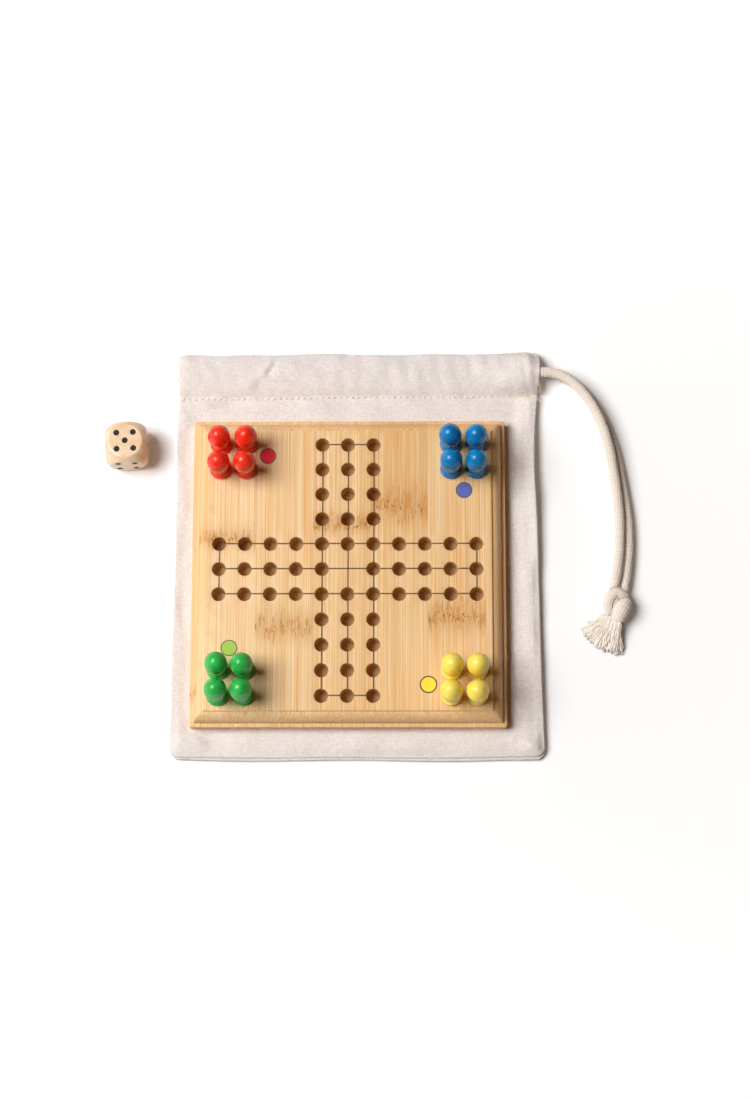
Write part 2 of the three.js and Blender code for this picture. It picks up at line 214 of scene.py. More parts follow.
# Bag, back panel: unbleached plain-weave cotton. Its sides and lower edge are turned in at the seam, and
# its upper edge is folded over and stitched down as one of the two sleeves that the drawcord runs in.
cloth = 0.40
seam_fold = 0.42
seam_turn = 5.0
hem_fold = 0.42
bag_corner = 3.5
hem_corner = 2.0
weave_step = 0.85
stitch_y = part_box("bag_front_hem")[0][1] / mm
channel_y = (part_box("drawcord_front_run")[0][1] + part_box("drawcord_front_run")[1][1]) / 2 / mm
channel_reach = 8.4
cord_turn_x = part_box("drawcord_left_turn")[1][0] / mm
cord_turn_reach = 4.45
cord_turn_drop = 1.5
sleeve_opens = (46, 71)
left_edge = [
    (-74, -67.5), (-40, -67.4), (0, -67.0), (40, -66.7), (62, -66.9), (71, -66.3), (80, -67.2), (92, -67.0),
]
right_edge = [
    (-74, 74.4), (-49, 73.5), (-10, 72.8), (21, 72.3), (44, 71.5), (60, 72.1), (70, 72.9), (80, 74.0),
    (92, 73.6),
]
back_bottom = [(-70, -71.2), (-40, -71.9), (0, -71.5), (38, -72.0), (60, -71.6), (78, -71.4)]
top_edge = [
    (-70, 87.2), (-62, 88.2), (-53, 87.6), (-44, 88.0), (-25, 88.0), (-11, 88.6), (8, 87.9), (30, 88.2),
    (55, 88.2), (69, 88.9), (78, 88.5),
]
right_lift = [
    (-74, 0.2), (-64, 0.5), (-48, 1.4), (-10, 1.0), (20, 2.1), (38, 3.1), (58, 1.6), (72, 0.7), (92, 0.4),
]
right_lift_reach = (58, 72)
seam_wander = 0.25
back_rest = 0.26
back_facing_heights = (1.05, 2.0, 2.45, 4.25)
hem_overlap = 1.5


def ease(value, low, high):
    """Smooth step from 0 at low to 1 at high."""
    share = np.clip((value - low) / (high - low), 0, 1)
    return share * share * (3 - 2 * share)


def through(points, at):
    """Smooth curve through (station, value) points: a cubic on each span, whose slope at a point is that
    of the curve through its two neighbours."""
    stations = np.array([p[0] for p in points], float)
    values = np.array([p[1:] for p in points], float)
    slopes = np.gradient(values, stations, axis=0)
    i = np.clip(np.searchsorted(stations, at, side="right") - 1, 0, len(stations) - 2)
    span = (stations[i + 1] - stations[i])[..., None]
    t = (at - stations[i])[..., None] / span
    start = (1 + 2 * t) * (1 - t) ** 2 * values[i] + t * (1 - t) ** 2 * span * slopes[i]
    end = t * t * (3 - 2 * t) * values[i + 1] + t * t * (t - 1) * span * slopes[i + 1]
    return start + end


def ripples(x, y, seed, count, shortest, longest):
    """Sum of plane waves with drawn directions, lengths and phases, scaled to a spread of about 1."""
    draw = np.random.default_rng(seed)
    turn = draw.uniform(0, np.pi, count)
    wave = 2 * np.pi / draw.uniform(shortest, longest, count)
    phase = draw.uniform(0, 2 * np.pi, count)
    along = x[..., None] * np.cos(turn) + y[..., None] * np.sin(turn)
    return np.cos(wave * along + phase).sum(axis=-1) / np.sqrt(count / 2)


def stations(width, radius, low_turn, high_turn):
    """Stations across a panel: a turned-in strip, a half-round fold, the face, and the same on the far
    side. Gives each one's share of the way across, its distance from that edge, how far it has gone round
    the near and the far fold, and its place on the flat cloth."""
    fold = np.linspace(0, np.pi, 9)
    face = np.linspace(0, 1, int(width / weave_step) + 1)
    low = np.linspace(0, low_turn, int(low_turn / weave_step) + 2)[1:]
    high = np.linspace(0, high_turn, int(high_turn / weave_step) + 2)[1:]
    share = np.concatenate([0 * low, 0 * fold[1:], face, 1 + 0 * fold[1:], 1 + 0 * high])
    near_strip = radius + low[::-1]
    near_fold = radius * (1 - np.sin(fold[:0:-1]))
    far_fold = -radius * (1 - np.sin(fold[1:]))
    inset = np.concatenate([near_strip, near_fold, radius * (1 - 2 * face), far_fold, -radius - high])
    near_turn = np.concatenate([np.pi + 0 * low, fold[:0:-1], 0 * face, 0 * fold[1:], 0 * high])
    far_turn = np.concatenate([0 * low, 0 * fold[1:], 0 * face, fold[1:], np.pi + 0 * high])
    near_flat = np.concatenate([-radius * np.pi - low[::-1], -radius * fold[:0:-1]])
    far_flat = np.concatenate([width + radius * fold[1:], width + radius * np.pi + high])
    return share, inset, near_turn, far_turn, np.concatenate([near_flat, face * width, far_flat])


def panel_plan(bottom_edge):
    """Plan of a panel with its turned edges: x between the side edges, y between the lower and upper
    edge, each on the grid of stations. The lower corners are rounded by drawing the sides in."""
    low, high = bottom_edge[2][1], top_edge[4][1]
    hem = high - stitch_y + hem_overlap
    across = right_edge[2][1] - left_edge[2][1]
    u_share, u_inset, u_near, u_far, u_flat = stations(across, seam_fold, seam_turn, seam_turn)
    v_share, v_inset, v_near, v_far, v_flat = stations(high - low, hem_fold, seam_turn, hem)
    row = (low + (high - low) * v_share + v_inset)[:, None]
    rise = np.clip(row - low, 0, bag_corner)
    drawn_in = bag_corner - np.sqrt(np.maximum(bag_corner**2 - (bag_corner - rise) ** 2, 0))
    fall = np.clip(high - row, 0, hem_corner)
    drawn_in = drawn_in + hem_corner - np.sqrt(np.maximum(hem_corner**2 - (hem_corner - fall) ** 2, 0))
    left = through(left_edge, row)[..., 0] + drawn_in
    right = through(right_edge, row)[..., 0] - drawn_in
    x = left * (1 - u_share) + right * u_share + u_inset
    bottom = through(bottom_edge, x)[..., 0]
    top = through(top_edge, x)[..., 0]
    y = bottom * (1 - v_share[:, None]) + top * v_share[:, None] + v_inset[:, None]
    side_turn = np.broadcast_to(np.maximum(u_near, u_far), x.shape)
    seam_turned = np.maximum(side_turn, v_near[:, None])
    hem_turned = np.broadcast_to(v_far[:, None], x.shape)
    flat = np.stack(np.meshgrid(u_flat, v_flat), axis=-1)
    return x, y, seam_turned, hem_turned, flat


def over_cord(y):
    """How far the sleeve's cloth is raised by the cord: 1 over the cord, 0 at the stitching and the top
    edge."""
    return np.clip(1 - np.abs((y - channel_y) / channel_reach) ** 2.4, 0, 1)


def sleeve(x, y, at_stitching, at_edge, pressed, opened):
    """One ply of a sleeve: its height goes from the stitching to the top edge, and up to a crown over the
    cord, which is pressed flat along the hem and stands open at the right end."""
    base = at_stitching + (at_edge - at_stitching) * ease(y, channel_y - 6, channel_y + 7)
    crown = pressed + (opened - pressed) * ease(x, *sleeve_opens)
    return base + (crown - base) * over_cord(y)


def left_round(x):
    """Half-height of the sleeves at the left, where they close round the cord's turn: a quarter
    circle."""
    return np.sqrt(np.clip(1 - (np.minimum(x - cord_turn_x, 0) / cord_turn_reach) ** 2, 0, 1))


def seam_lift(x, y):
    """How far the sewn edge rides above the table, the same for both panels: a small height that wanders,
    and a height along the right side that follows chosen points."""
    wander = seam_wander * np.clip(1 + 0.7 * ripples(x, y, 11, 5, 18, 50), 0, 2)
    return wander + through(right_lift, y)[..., 0] * ease(x, *right_lift_reach)


def back_face(x, y):
    """Underside of the bag: flat on the table, lifted at the seams and, at the left, round the cord's
    turn."""
    seam = np.minimum(x - through(left_edge, y)[..., 0], through(right_edge, y)[..., 0] - x)
    seam = np.minimum(seam, y - through(back_bottom, x)[..., 0])
    turn = (1 - left_round(x)) * cord_turn_drop * over_cord(y)
    return back_rest + seam_lift(x, y) * (1 - ease(seam, 0, 4)) + turn


def back_facing(x, y):
    """Upper ply of the back sleeve, over its run of the cord."""
    return sleeve(x, y, *back_facing_heights)


def cloth_faces(shape):
    """Quads of a grid of stations."""
    index = np.arange(shape[0] * shape[1]).reshape(shape)
    corners = [index[:-1, :-1], index[:-1, 1:], index[1:, 1:], index[1:, :-1]]
    return np.stack(corners, axis=-1).reshape(-1, 4)


def add_piece(name, points, faces, finish, body, uv=None, marks=None, sharp=None, closed=True):
    """A piece from an (n, 3) array of points in metres and arrays of faces. uv gives each point a place
    on the flat material, marks gives each a value by name, and edges sharper than an angle in degrees
    stay crisp."""
    mesh = bpy.data.meshes.new(name)
    face_corners = [face for block in faces for face in block.tolist()]
    mesh.from_pydata(points.tolist(), [], face_corners)
    for mark, values in (marks or {}).items():
        attribute = mesh.attributes.new(mark, "FLOAT", "POINT")
        attribute.data.foreach_set("value", values.astype(np.float32).ravel())
    if uv is not None:
        corner = np.empty(len(mesh.loops), np.int32)
        mesh.loops.foreach_get("vertex_index", corner)
        layer = mesh.uv_layers.new(name="flat")
        layer.data.foreach_set("uv", uv.reshape(-1, 2)[corner].astype(np.float32).ravel())
    if closed:
        made = bmesh.new()
        made.from_mesh(mesh)
        bmesh.ops.remove_doubles(made, verts=made.verts, dist=1e-7)
        bmesh.ops.recalc_face_normals(made, faces=made.faces)
        made.to_mesh(mesh)
        made.free()
    mesh.shade_smooth()
    if sharp is not None:
        mesh.set_sharp_from_angle(angle=np.radians(sharp))
    mesh.materials.append(finish.material)
    piece = bpy.data.objects.new(name, mesh)
    bpy.context.collection.objects.link(piece)
    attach(piece, body)
    return piece


def cotton_finish(name, thread, tone, gap_shade_and_dull_tone):
    """Plain weave on the flat cloth: rounded warp and weft threads that pass over each other in turn,
    wandering a little, with painted shade in the gaps between the threads, thick places, pale and dull
    patches and a few dark flecks."""
    cotton = Finish(name, {"Roughness": 0.93, "Specular IOR Level": 0.18, "Sheen Weight": 0.12})
    flat = cotton.node("UVMap", uv_map="flat")
    wander = cotton.noise(flat, 700.0, 3.0, 0.6)
    in_threads = cotton.stretched(flat, (1 / thread,) * 3)
    shifted = cotton.node("VectorMath", {0: in_threads, 1: wander}, operation="ADD")
    warp_place = cotton.node("SeparateXYZ", {0: shifted}, output=0)
    weft_place = cotton.node("SeparateXYZ", {0: shifted}, output=1)
    warp = cotton.math("ABSOLUTE", cotton.math("SINE", cotton.math("MULTIPLY", warp_place, np.pi)))
    weft = cotton.math("ABSOLUTE", cotton.math("SINE", cotton.math("MULTIPLY", weft_place, np.pi)))
    cell = cotton.math("ADD", cotton.math("FLOOR", warp_place), cotton.math("FLOOR", weft_place))
    over = cotton.math("MULTIPLY", cotton.math("FRACT", cotton.math("MULTIPLY", cell, 0.5)), 2.0)
    weave = cotton.node("Mix", {0: over, 2: warp, 3: weft})
    slub_warp = cotton.noise(cotton.stretched(flat, (1900.0, 420.0, 1.0)), 1.0, 2.0)
    slub_weft = cotton.noise(cotton.stretched(flat, (420.0, 1900.0, 1.0)), 1.0, 2.0)
    slub = cotton.math("ADD", slub_warp, slub_weft)
    patches = cotton.noise(flat, 160.0, 3.0, 0.6)
    mottle = cotton.noise(flat, 760.0, 3.0, 0.75)
    flecks = cotton.rise(cotton.noise(flat, 620.0, 1.0), 0.765, 0.80, 0.0, 0.45)
    # Painted shade: the gaps between the threads take the darker tone, which the dull patches and mottle
    # share.
    threads = cotton.mix(cotton.rise(weave, 0.05, 0.75), shade(gap_shade_and_dull_tone), shade(tone))
    dulled = cotton.mix(cotton.rise(patches, 0.35, 0.7, 0.0, 0.16), threads, shade(gap_shade_and_dull_tone))
    mottled = cotton.mix(cotton.rise(mottle, 0.42, 0.66, 0.0, 0.28), dulled, shade(gap_shade_and_dull_tone))
    lit = cotton.mix(cotton.rise(slub, 0.88, 1.2, 0.0, 0.45), mottled, shade("fff8f2"))
    flecked = cotton.mix(flecks, lit, shade("b0936e"))
    raised = cotton.bump(slub, 0.00005, cotton.bump(weave, 0.00006))
    cotton.finish(Base_Color=flecked, Normal=raised)
    return cotton


bag_cotton = cotton_finish("unbleached_cotton", 0.00052, "f3ece8", "dacbc4")
x, y, seam_turned, hem_turned, flat = panel_plan(back_bottom)
raised_share = (1 - np.cos(hem_turned)) / 2
turned_up = seam_fold * (1 - np.cos(seam_turned)) * np.cos(hem_turned)
z = back_face(x, y) * (1 - raised_share) + back_facing(x, y) * raised_share + turned_up
points = np.stack([x, y, z], axis=-1).reshape(-1, 3) * mm
bag_back = add_piece(
    "bag_back", points, [cloth_faces(x.shape)], bag_cotton, "bag", uv=flat * mm, closed=False,
)
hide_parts("bag_back_panel", "bag_back_hem", "bag_seam_allowance")


def thicken(piece):
    """The cloth's own thickness, half on each side of its middle."""
    solidify = piece.modifiers.new("thickness", "SOLIDIFY")
    solidify.thickness = cloth * mm
    solidify.offset = 0


thicken(bag_back)


# Bag, front panel: the same cotton, cut a little shorter. It is pressed flat under the board, puffs up
# along the seams beside it, and rises over both runs of the cord in the stitched hem.
front_bottom = [(-70, -70.4), (-40, -70.9), (0, -70.7), (30, -71.0), (60, -70.6), (78, -70.2)]
front_rest = 1.5
front_margin = 2.0
right_puff, lower_puff = 1.25, 0.9
seam_ridge = 0.35
margin_ripple, fine_ripple, hem_ripple = 0.24, 0.10, 0.05
front_hem_heights = (2.2, 3.5, 4.8, 8.7)
front_facing_heights = (1.5, 2.4, 2.9, 4.7)
open_end_drop = 1.2
hem_wave_lengths, hem_wave_height = (9.1, 6.2), 0.06
stitch_dip = 0.35
stitch_row = [
    (-72, 70.3), (-58, 70.3), (-40, 70.4), (-20, 70.7), (0, 71.1), (35, 71.0), (66, 71.7), (78, 72.2),
]
board_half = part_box("board")[1][0] / mm
creases = [
    ((-30.5, 86.0), (-33.5, 80.5), 1.3, 0.50), ((-33.0, 81.0), (-39.0, 75.5), 1.6, 0.36),
    ((-29.0, 85.0), (-31.5, 80.0), 1.2, -0.40), ((-31.0, 80.5), (-37.0, 74.5), 1.5, -0.24),
    ((-38.0, 75.6), (-55.0, 69.6), 1.6, 0.35), ((-66.0, 68.0), (-54.0, 67.6), 1.2, 0.55),
    ((-64.0, 85.0), (-55.0, 83.0), 1.5, 0.35), ((-62.0, -61.0), (-54.0, -67.0), 1.6, 0.55),
    ((-64.0, -57.0), (-66.0, -40.0), 1.2, 0.30), ((64.0, -8.0), (65.2, -50.0), 1.1, 0.40),
    ((66.5, 61.0), (65.0, 30.0), 1.4, 0.30), ((60.0, -63.0), (71.0, -67.0), 1.5, 0.55),
    ((40.0, -64.5), (58.0, -66.5), 1.4, 0.30), ((52.0, 84.0), (54.0, 77.0), 1.9, 0.20),
    ((61.0, 82.0), (60.0, 74.0), 1.7, 0.22), ((36.0, 80.0), (41.0, 73.0), 2.0, 0.18),
    ((12.0, 84.0), (9.0, 76.0), 2.2, 0.22), ((69.0, 87.0), (70.4, 77.0), 1.0, 0.35),
    ((70.2, 77.5), (72.4, 70.5), 1.0, 0.40), ((67.2, 86.0), (69.0, 74.0), 1.0, -0.15),
    ((-12.0, 66.0), (20.0, 64.5), 2.0, 0.30), ((-50.0, 64.0), (-20.0, 66.5), 1.8, 0.25),
    ((44.0, 68.0), (66.0, 66.5), 1.6, 0.40), ((40.0, 64.5), (64.0, 64.0), 1.5, 0.25),
]


def crease(x, y, start, end, width, height):
    """A soft ridge or furrow: a bell across the line from start to end, eased to nothing past both
    ends."""
    run = np.subtract(end, start)
    length = np.hypot(*run)
    along = ((x - start[0]) * run[0] + (y - start[1]) * run[1]) / length
    across = ((y - start[1]) * run[0] - (x - start[0]) * run[1]) / length
    ends = ease(along, -0.25 * length, 0.2 * length) * (1 - ease(along, 0.8 * length, 1.25 * length))
    return height * np.exp(-((across / width) ** 2)) * ends


def hem_waves(x, y):
    """Shallow upright waves in the right part of the hem: two sines along it, the longer one with a slow
    swing in its phase, eased in above the stitching and from the left."""
    long_wave = np.sin(2 * np.pi * x / hem_wave_lengths[0] + 1.3 * np.sin(x / 11))
    short_wave = np.sin(2 * np.pi * x / hem_wave_lengths[1] + 0.6)
    above_stitching = ease(y, stitch_y + 2, stitch_y + 8)
    return hem_wave_height * (long_wave + short_wave) * above_stitching * ease(x, -28, -5)


def front_face(x, y):
    """Visible face: low under the board, raised along the seams, dipped at the stitching, crowned over
    the cord, waved along the hem, with ripples and creases where nothing presses on it."""
    beside_board = np.hypot(np.maximum(np.abs(x) - board_half, 0), np.maximum(np.abs(y) - board_half, 0))
    free = ease(beside_board, 0.2, 4.8)
    right_gap = through(right_edge, y)[..., 0] - x
    left_gap = x - through(left_edge, y)[..., 0]
    lower_gap = y - through(front_bottom, x)[..., 0]
    seam_gap = np.minimum(np.minimum(right_gap, left_gap), lower_gap)
    inside = ease(seam_gap, 0.3, 3.5)
    puff = front_margin - front_rest + right_puff * ease(x, 63, 69) + lower_puff * ease(-y, 59, 65)
    puff = puff + margin_ripple * ripples(x, y, 3, 7, 16, 40)
    puff = puff + seam_ridge * np.exp(-(((right_gap - 2.4) / 0.8) ** 2))
    sewn = back_rest + 4 * seam_fold - front_rest + seam_lift(x, y)
    body = front_rest + free * (sewn * (1 - inside) + puff * inside)
    in_hem = ease(y, stitch_y - 2.0, stitch_y + 1.5)
    over_cords = sleeve(x, y, *front_hem_heights)
    over_cords = over_cords - cord_turn_drop * (1 - left_round(x)) * over_cord(y)
    beside_cord = 1 - 0.85 * np.exp(-(((y - channel_y) / 2.9) ** 2))
    at_end = ease(x, 68.5, 74)
    over_cords = over_cords - open_end_drop * at_end * beside_cord * ease(y, stitch_y, stitch_y + 4)
    z = body * (1 - in_hem) + over_cords * in_hem
    z = z - stitch_dip * np.exp(-(((y - through(stitch_row, x)[..., 0]) / 1.4) ** 2))
    z = z + (fine_ripple * free * inside + hem_ripple * in_hem) * ripples(x, y, 8, 16, 6, 22)
    z = z + hem_waves(x, y)
    for start, end, width, height in creases:
        z = z + free * np.maximum(inside, in_hem) * crease(x, y, start, end, width, height)
    return z


def front_facing(x, y):
    """Lower ply of the front sleeve, under its run of the cord, pressed down at the side seams by the
    plies there."""
    side_gap = np.minimum(x - through(left_edge, y)[..., 0], through(right_edge, y)[..., 0] - x)
    at_side = 1 - ease(side_gap, 3, 9)
    at_stitching = 1 - ease(y, stitch_y + 1, stitch_y + 6)
    return sleeve(x, y, *front_facing_heights) - 0.8 * at_side * at_stitching


x, y, seam_turned, hem_turned, flat = panel_plan(front_bottom)
raised_share = (1 - np.cos(hem_turned)) / 2
turned_down = seam_fold * (1 - np.cos(seam_turned)) * np.cos(hem_turned)
z = front_face(x, y) * (1 - raised_share) + front_facing(x, y) * raised_share - turned_down
points = np.stack([x, y, z], axis=-1).reshape(-1, 3) * mm
bag_front = add_piece(
    "bag_front", points, [cloth_faces(x.shape)], bag_cotton, "bag", uv=flat * mm, closed=False,
)
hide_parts("bag_front_panel", "bag_front_hem")
thicken(bag_front)


# Hem stitching: one row of cotton thread along the foot of the hem. Each stitch is a short raised stretch
# of thread whose two ends dive into the cloth.
stitch_length = 2.35
stitch_shown = 1.55
thread_radius = 0.31
thread_lift = 0.40
tack = [(66.7, 71.5), (68.6, 71.3), (70.6, 70.9), (72.6, 70.5)]
tack_radius = 0.30
tack_rings = 25
loose_ends = [
    [(72.0, 78.4), (73.6, 75.6), (74.5, 73.0)], [(72.8, 76.0), (74.1, 74.0), (74.2, 72.2)],
    [(72.4, 71.6), (73.7, 71.2), (74.9, 70.2)], [(72.2, 70.4), (73.6, 69.6), (74.4, 68.6)],
    [(72.9, 73.4), (74.2, 72.9), (75.2, 73.3)],
]
loose_radius = 0.14
stitch_sides = 8


def ring_quads(index):
    """Quads between neighbouring rings of point numbers (..., rings, sides), each ring closed round."""
    after = np.roll(index, -1, axis=-1)
    corners = [index[..., :-1, :], after[..., :-1, :], after[..., 1:, :], index[..., 1:, :]]
    return np.stack(corners, axis=-1).reshape(-1, 4)


def tubes(paths, radii, sides):
    """Round tubes: paths is (tubes, rings, 3) and radii (tubes, rings, sides). Each ring lies square to
    its path, turned by the table's upright, and the ends are closed by fans."""
    tangent = np.gradient(paths, axis=1)
    tangent /= np.linalg.norm(tangent, axis=-1, keepdims=True)
    side = np.cross(tangent, (0.0, 0.0, 1.0))
    side /= np.linalg.norm(side, axis=-1, keepdims=True)
    over = np.cross(side, tangent)
    angle = np.linspace(0, 2 * np.pi, sides, endpoint=False)[:, None]
    ring = np.cos(angle) * side[:, :, None] + np.sin(angle) * over[:, :, None]
    surface = paths[:, :, None] + np.broadcast_to(radii, ring.shape[:3])[..., None] * ring
    count, rings = paths.shape[:2]
    index = np.arange(count * rings * sides).reshape(count, rings, sides)
    after = np.roll(index, -1, axis=2)
    first = np.broadcast_to(index.size + np.arange(count)[:, None], (count, sides))
    start_fan = np.stack([after[:, 0], index[:, 0], first], axis=-1).reshape(-1, 3)
    end_fan = np.stack([index[:, -1], after[:, -1], first + count], axis=-1).reshape(-1, 3)
    points = np.concatenate([surface.reshape(-1, 3), paths[:, 0], paths[:, -1]])
    return points, [ring_quads(index), np.concatenate([start_fan, end_fan])]


def thread_finish(name, low, high):
    """Twisted cotton thread: two tones in short stripes, slightly raised."""
    thread = Finish(name, {"Roughness": 0.8, "Specular IOR Level": 0.25})
    twist = thread.noise(thread.stretched(thread.place(), (2500.0, 9000.0, 9000.0)), 1.0, 2.0)
    tone = thread.mix(thread.rise(twist, 0.35, 0.65), shade(low), shade(high))
    thread.finish(Base_Color=tone, Normal=thread.bump(twist, 0.00008))
    return thread


stitch_x = np.arange(left_edge[2][1] + 2.0, right_edge[2][1] - 1.5, stitch_length)
stitch_draw = np.random.default_rng(21)
along = np.linspace(-1, 1, 9)
path_x = stitch_x[:, None] + along * stitch_shown / 2
path_y = through(stitch_row, stitch_x)[:, :1] + stitch_draw.normal(0, 0.06, (len(stitch_x), 1))
path_y = path_y + along * stitch_draw.normal(0, 0.07, (len(stitch_x), 1))
path_z = front_face(path_x, path_y) + thread_lift - (cloth + 0.2) * along**6
stitch_paths = np.stack([path_x, path_y, path_z], axis=-1) * mm
stitch_radii = thread_radius * mm * np.sqrt(1.02 - along**2)[None, :, None]
points, faces = tubes(stitch_paths, stitch_radii, stitch_sides)
white_thread = thread_finish("sewing_thread", "e4d5c1", "f7eee2")
hem_stitching = add_piece("hem_stitching", points, faces, white_thread, "bag")
tack_share = np.linspace(0, 1, tack_rings)
tack_plan = through([(i / 3, *place) for i, place in enumerate(tack)], tack_share)
tack_z = front_face(tack_plan[:, 0], tack_plan[:, 1]) + 0.30 - 0.5 * (2 * tack_share - 1) ** 8
tack_path = np.column_stack([tack_plan, tack_z])[None] * mm
points, faces = tubes(tack_path, np.full((1, tack_rings, 1), tack_radius * mm), stitch_sides)
yellow_thread = thread_finish("tack_thread", "d9c49a", "eedfbe")
hem_tack = add_piece("hem_tack", points, faces, yellow_thread, "bag")
loose_plan = np.array([
    through([(i / 2, *place) for i, place in enumerate(end)], tack_share) for end in loose_ends
])
loose_z = front_face(np.minimum(loose_plan[..., 0], 73.0), loose_plan[..., 1]) + 0.25
loose_z = loose_z - 1.2 * ease(loose_plan[..., 0], 73.2, 75.0)
loose_paths = np.concatenate([loose_plan, loose_z[..., None]], axis=-1) * mm
points, faces = tubes(loose_paths, np.full((1, 1, 1), loose_radius * mm), stitch_sides)
hem_loose_ends = add_piece("hem_loose_ends", points, faces, white_thread, "bag")


# Drawcord in the hem: the pressed cord that runs through the front sleeve, turns at the left end and
# comes back through the back sleeve. Only its two ends show, inside the sleeves' right ends.
cord_radius = 2.0
pressed_width = 2.9
pressed_height = 0.72
pressed_front_z = 3.85
pressed_back_z = 1.36
front_run_z = (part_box("drawcord_front_run")[0][2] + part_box("drawcord_front_run")[1][2]) / 2 / mm
back_run_z = (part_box("drawcord_back_run")[0][2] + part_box("drawcord_back_run")[1][2]) / 2 / mm
run_end_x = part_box("drawcord_front_run")[1][0] / mm


def knit(along, around, stitch, wales):
    """Relief of a knitted cord, 0 in the grooves to 1 on the loops: slanted ridges that meet in a V on
    each wale, with a groove between the wales. along is in millimetres, around is the share of a turn."""
    lean = np.abs(2 * ((around * wales) % 1) - 1)
    ridge = 0.5 + 0.5 * np.cos(2 * np.pi * (along / stitch + 0.45 * lean))
    return (0.35 + 0.65 * ridge) * (1 - lean**4)


def cord_finish(name, low, high, fuzz):
    """Soft unbleached cotton, paler on the loops of its knit, with painted shade in brown in its grooves,
    and fine fibres. Its fuzz is shaded by leaning the surface towards the upright."""
    yarn = Finish(name, {"Roughness": 0.95, "Specular IOR Level": 0.15, "Sheen Weight": 0.2})
    groove = yarn.node("Attribute", output="Fac", attribute_name="loop")
    fibres = yarn.noise(yarn.place(), 5200.0, 3.0, 0.65)
    patches = yarn.noise(yarn.place(), 260.0, 2.0)
    # Painted shade: the colour falls to the brown low tone in the knit's grooves and, on the knot, where
    # its turns meet.
    groove_shaded = yarn.mix(yarn.rise(groove, 0.0, 0.6), shade(low), shade(high))
    worn = yarn.mix(yarn.rise(patches, 0.4, 0.7, 0.0, 0.3), groove_shaded, shade("e2d0bd"))
    tinted = yarn.mix(yarn.rise(fibres, 0.35, 0.7, 0.0, 0.35), worn, shade("fff6ee"))
    leaning = yarn.node("VectorMath", {0: yarn.bump(fibres, 0.00009), 1: (0.0, 0.0, fuzz)}, operation="ADD")
    yarn.finish(Base_Color=tinted, Normal=yarn.node("VectorMath", {0: leaning}, operation="NORMALIZE"))
    return yarn


cord_cotton = cord_finish("knitted_cord", "cab297", "f2e7db", 0.2)
turn_radius = (pressed_front_z - pressed_back_z) / 2
turn_angle = np.linspace(np.pi / 2, 3 * np.pi / 2, 17)
run_x = np.linspace(run_end_x, cord_turn_x, 60)[:-1]
opened = ease(run_x, *sleeve_opens)
front_z = pressed_front_z + (front_run_z - pressed_front_z) * opened
back_z = pressed_back_z + (back_run_z - pressed_back_z) * opened
turn_z = (pressed_front_z + pressed_back_z) / 2 + turn_radius * np.sin(turn_angle)
hidden_x = np.concatenate([run_x, cord_turn_x + turn_radius * np.cos(turn_angle), run_x[::-1]])
hidden_z = np.concatenate([front_z, turn_z, back_z[::-1]])
roundness = np.concatenate([opened, 0 * turn_angle, opened[::-1]])[:, None, None]
hidden_path = np.stack([hidden_x, 0 * hidden_x + channel_y, hidden_z], axis=-1)
tangent = np.gradient(hidden_path, axis=0)
tangent /= np.linalg.norm(tangent, axis=-1, keepdims=True)
outward = np.cross(tangent, (0.0, 1.0, 0.0))[:, None]
section = np.linspace(0, 2 * np.pi, 16, endpoint=False)[:, None]
half_height = pressed_height + (cord_radius - 0.1 - pressed_height) * roundness
half_width = pressed_width + (cord_radius - 0.1 - pressed_width) * roundness
hidden_rings = hidden_path[:, None] + half_height * np.cos(section) * outward
hidden_rings = hidden_rings + half_width * np.sin(section) * np.array([0.0, 1.0, 0.0])
rings, sides = hidden_rings.shape[:2]
index = np.arange(rings * sides).reshape(rings, sides)
hidden_faces = [ring_quads(index), index[:1], index[-1:, ::-1]]
loops = np.tile(np.cos(8 * section[:, 0]) * 0.3 + 0.6, rings)
drawcord_in_hem = add_piece(
    "drawcord_in_hem", hidden_rings.reshape(-1, 3) * mm, hidden_faces, cord_cotton, "bag",
    marks={"loop": loops},
)
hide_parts("drawcord_front_run", "drawcord_back_run", "drawcord_left_turn")


# Free strands of the drawcord: both ends of the one knitted cord, from the hem round to the knot. The
# front strand leaves on top of the back one and then leans on its left side.
front_strand_route = [
    (74.35, 79.8, 6.8), (78, 79.7, 6.8), (81.5, 78.9, 6.75), (85, 77.1, 6.7), (88.2, 74.4, 6.6),
    (91, 71.2, 6.5), (93.5, 67.6, 6.45), (95.7, 63.6, 6.4), (97.7, 58.8, 6.3), (99.4, 53.4, 6.1),
    (100.8, 47.4, 5.9), (101.8, 41.2, 5.7), (102.7, 34.6, 5.5), (103.4, 28.2, 5.2), (103.85, 21.9, 4.95),
    (103.9, 15.5, 4.7), (103.6, 9, 4.6), (102.9, 2.8, 4.6), (102.2, -1.6, 4.7), (101.6, -4.35, 4.6),
]
back_strand_route = [
    (74.35, 80.6, 2.2), (78, 80.6, 2.2), (81.8, 79.9, 2.15), (85.4, 78.2, 2.1), (88.8, 75.6, 2.1),
    (91.9, 72.5, 2.1), (94.7, 69, 2.1), (97.1, 65, 2.1), (99.3, 60.2, 2.1), (101.3, 54.6, 2.1),
    (103, 48.4, 2.1), (104.35, 41.9, 2.1), (105.5, 35, 2.1), (106.5, 28.3, 2.1), (107.2, 22, 2.1),
    (107.5, 15.5, 2.1), (107.35, 8.9, 2.1), (106.7, 2.6, 2.2), (106.1, -1.4, 2.4), (105.5, -4.35, 2.6),
]
knit_stitch = 1.0
knit_wales = 10
knit_depth = 0.24
knit_step = 0.18
sides_per_wale = 6


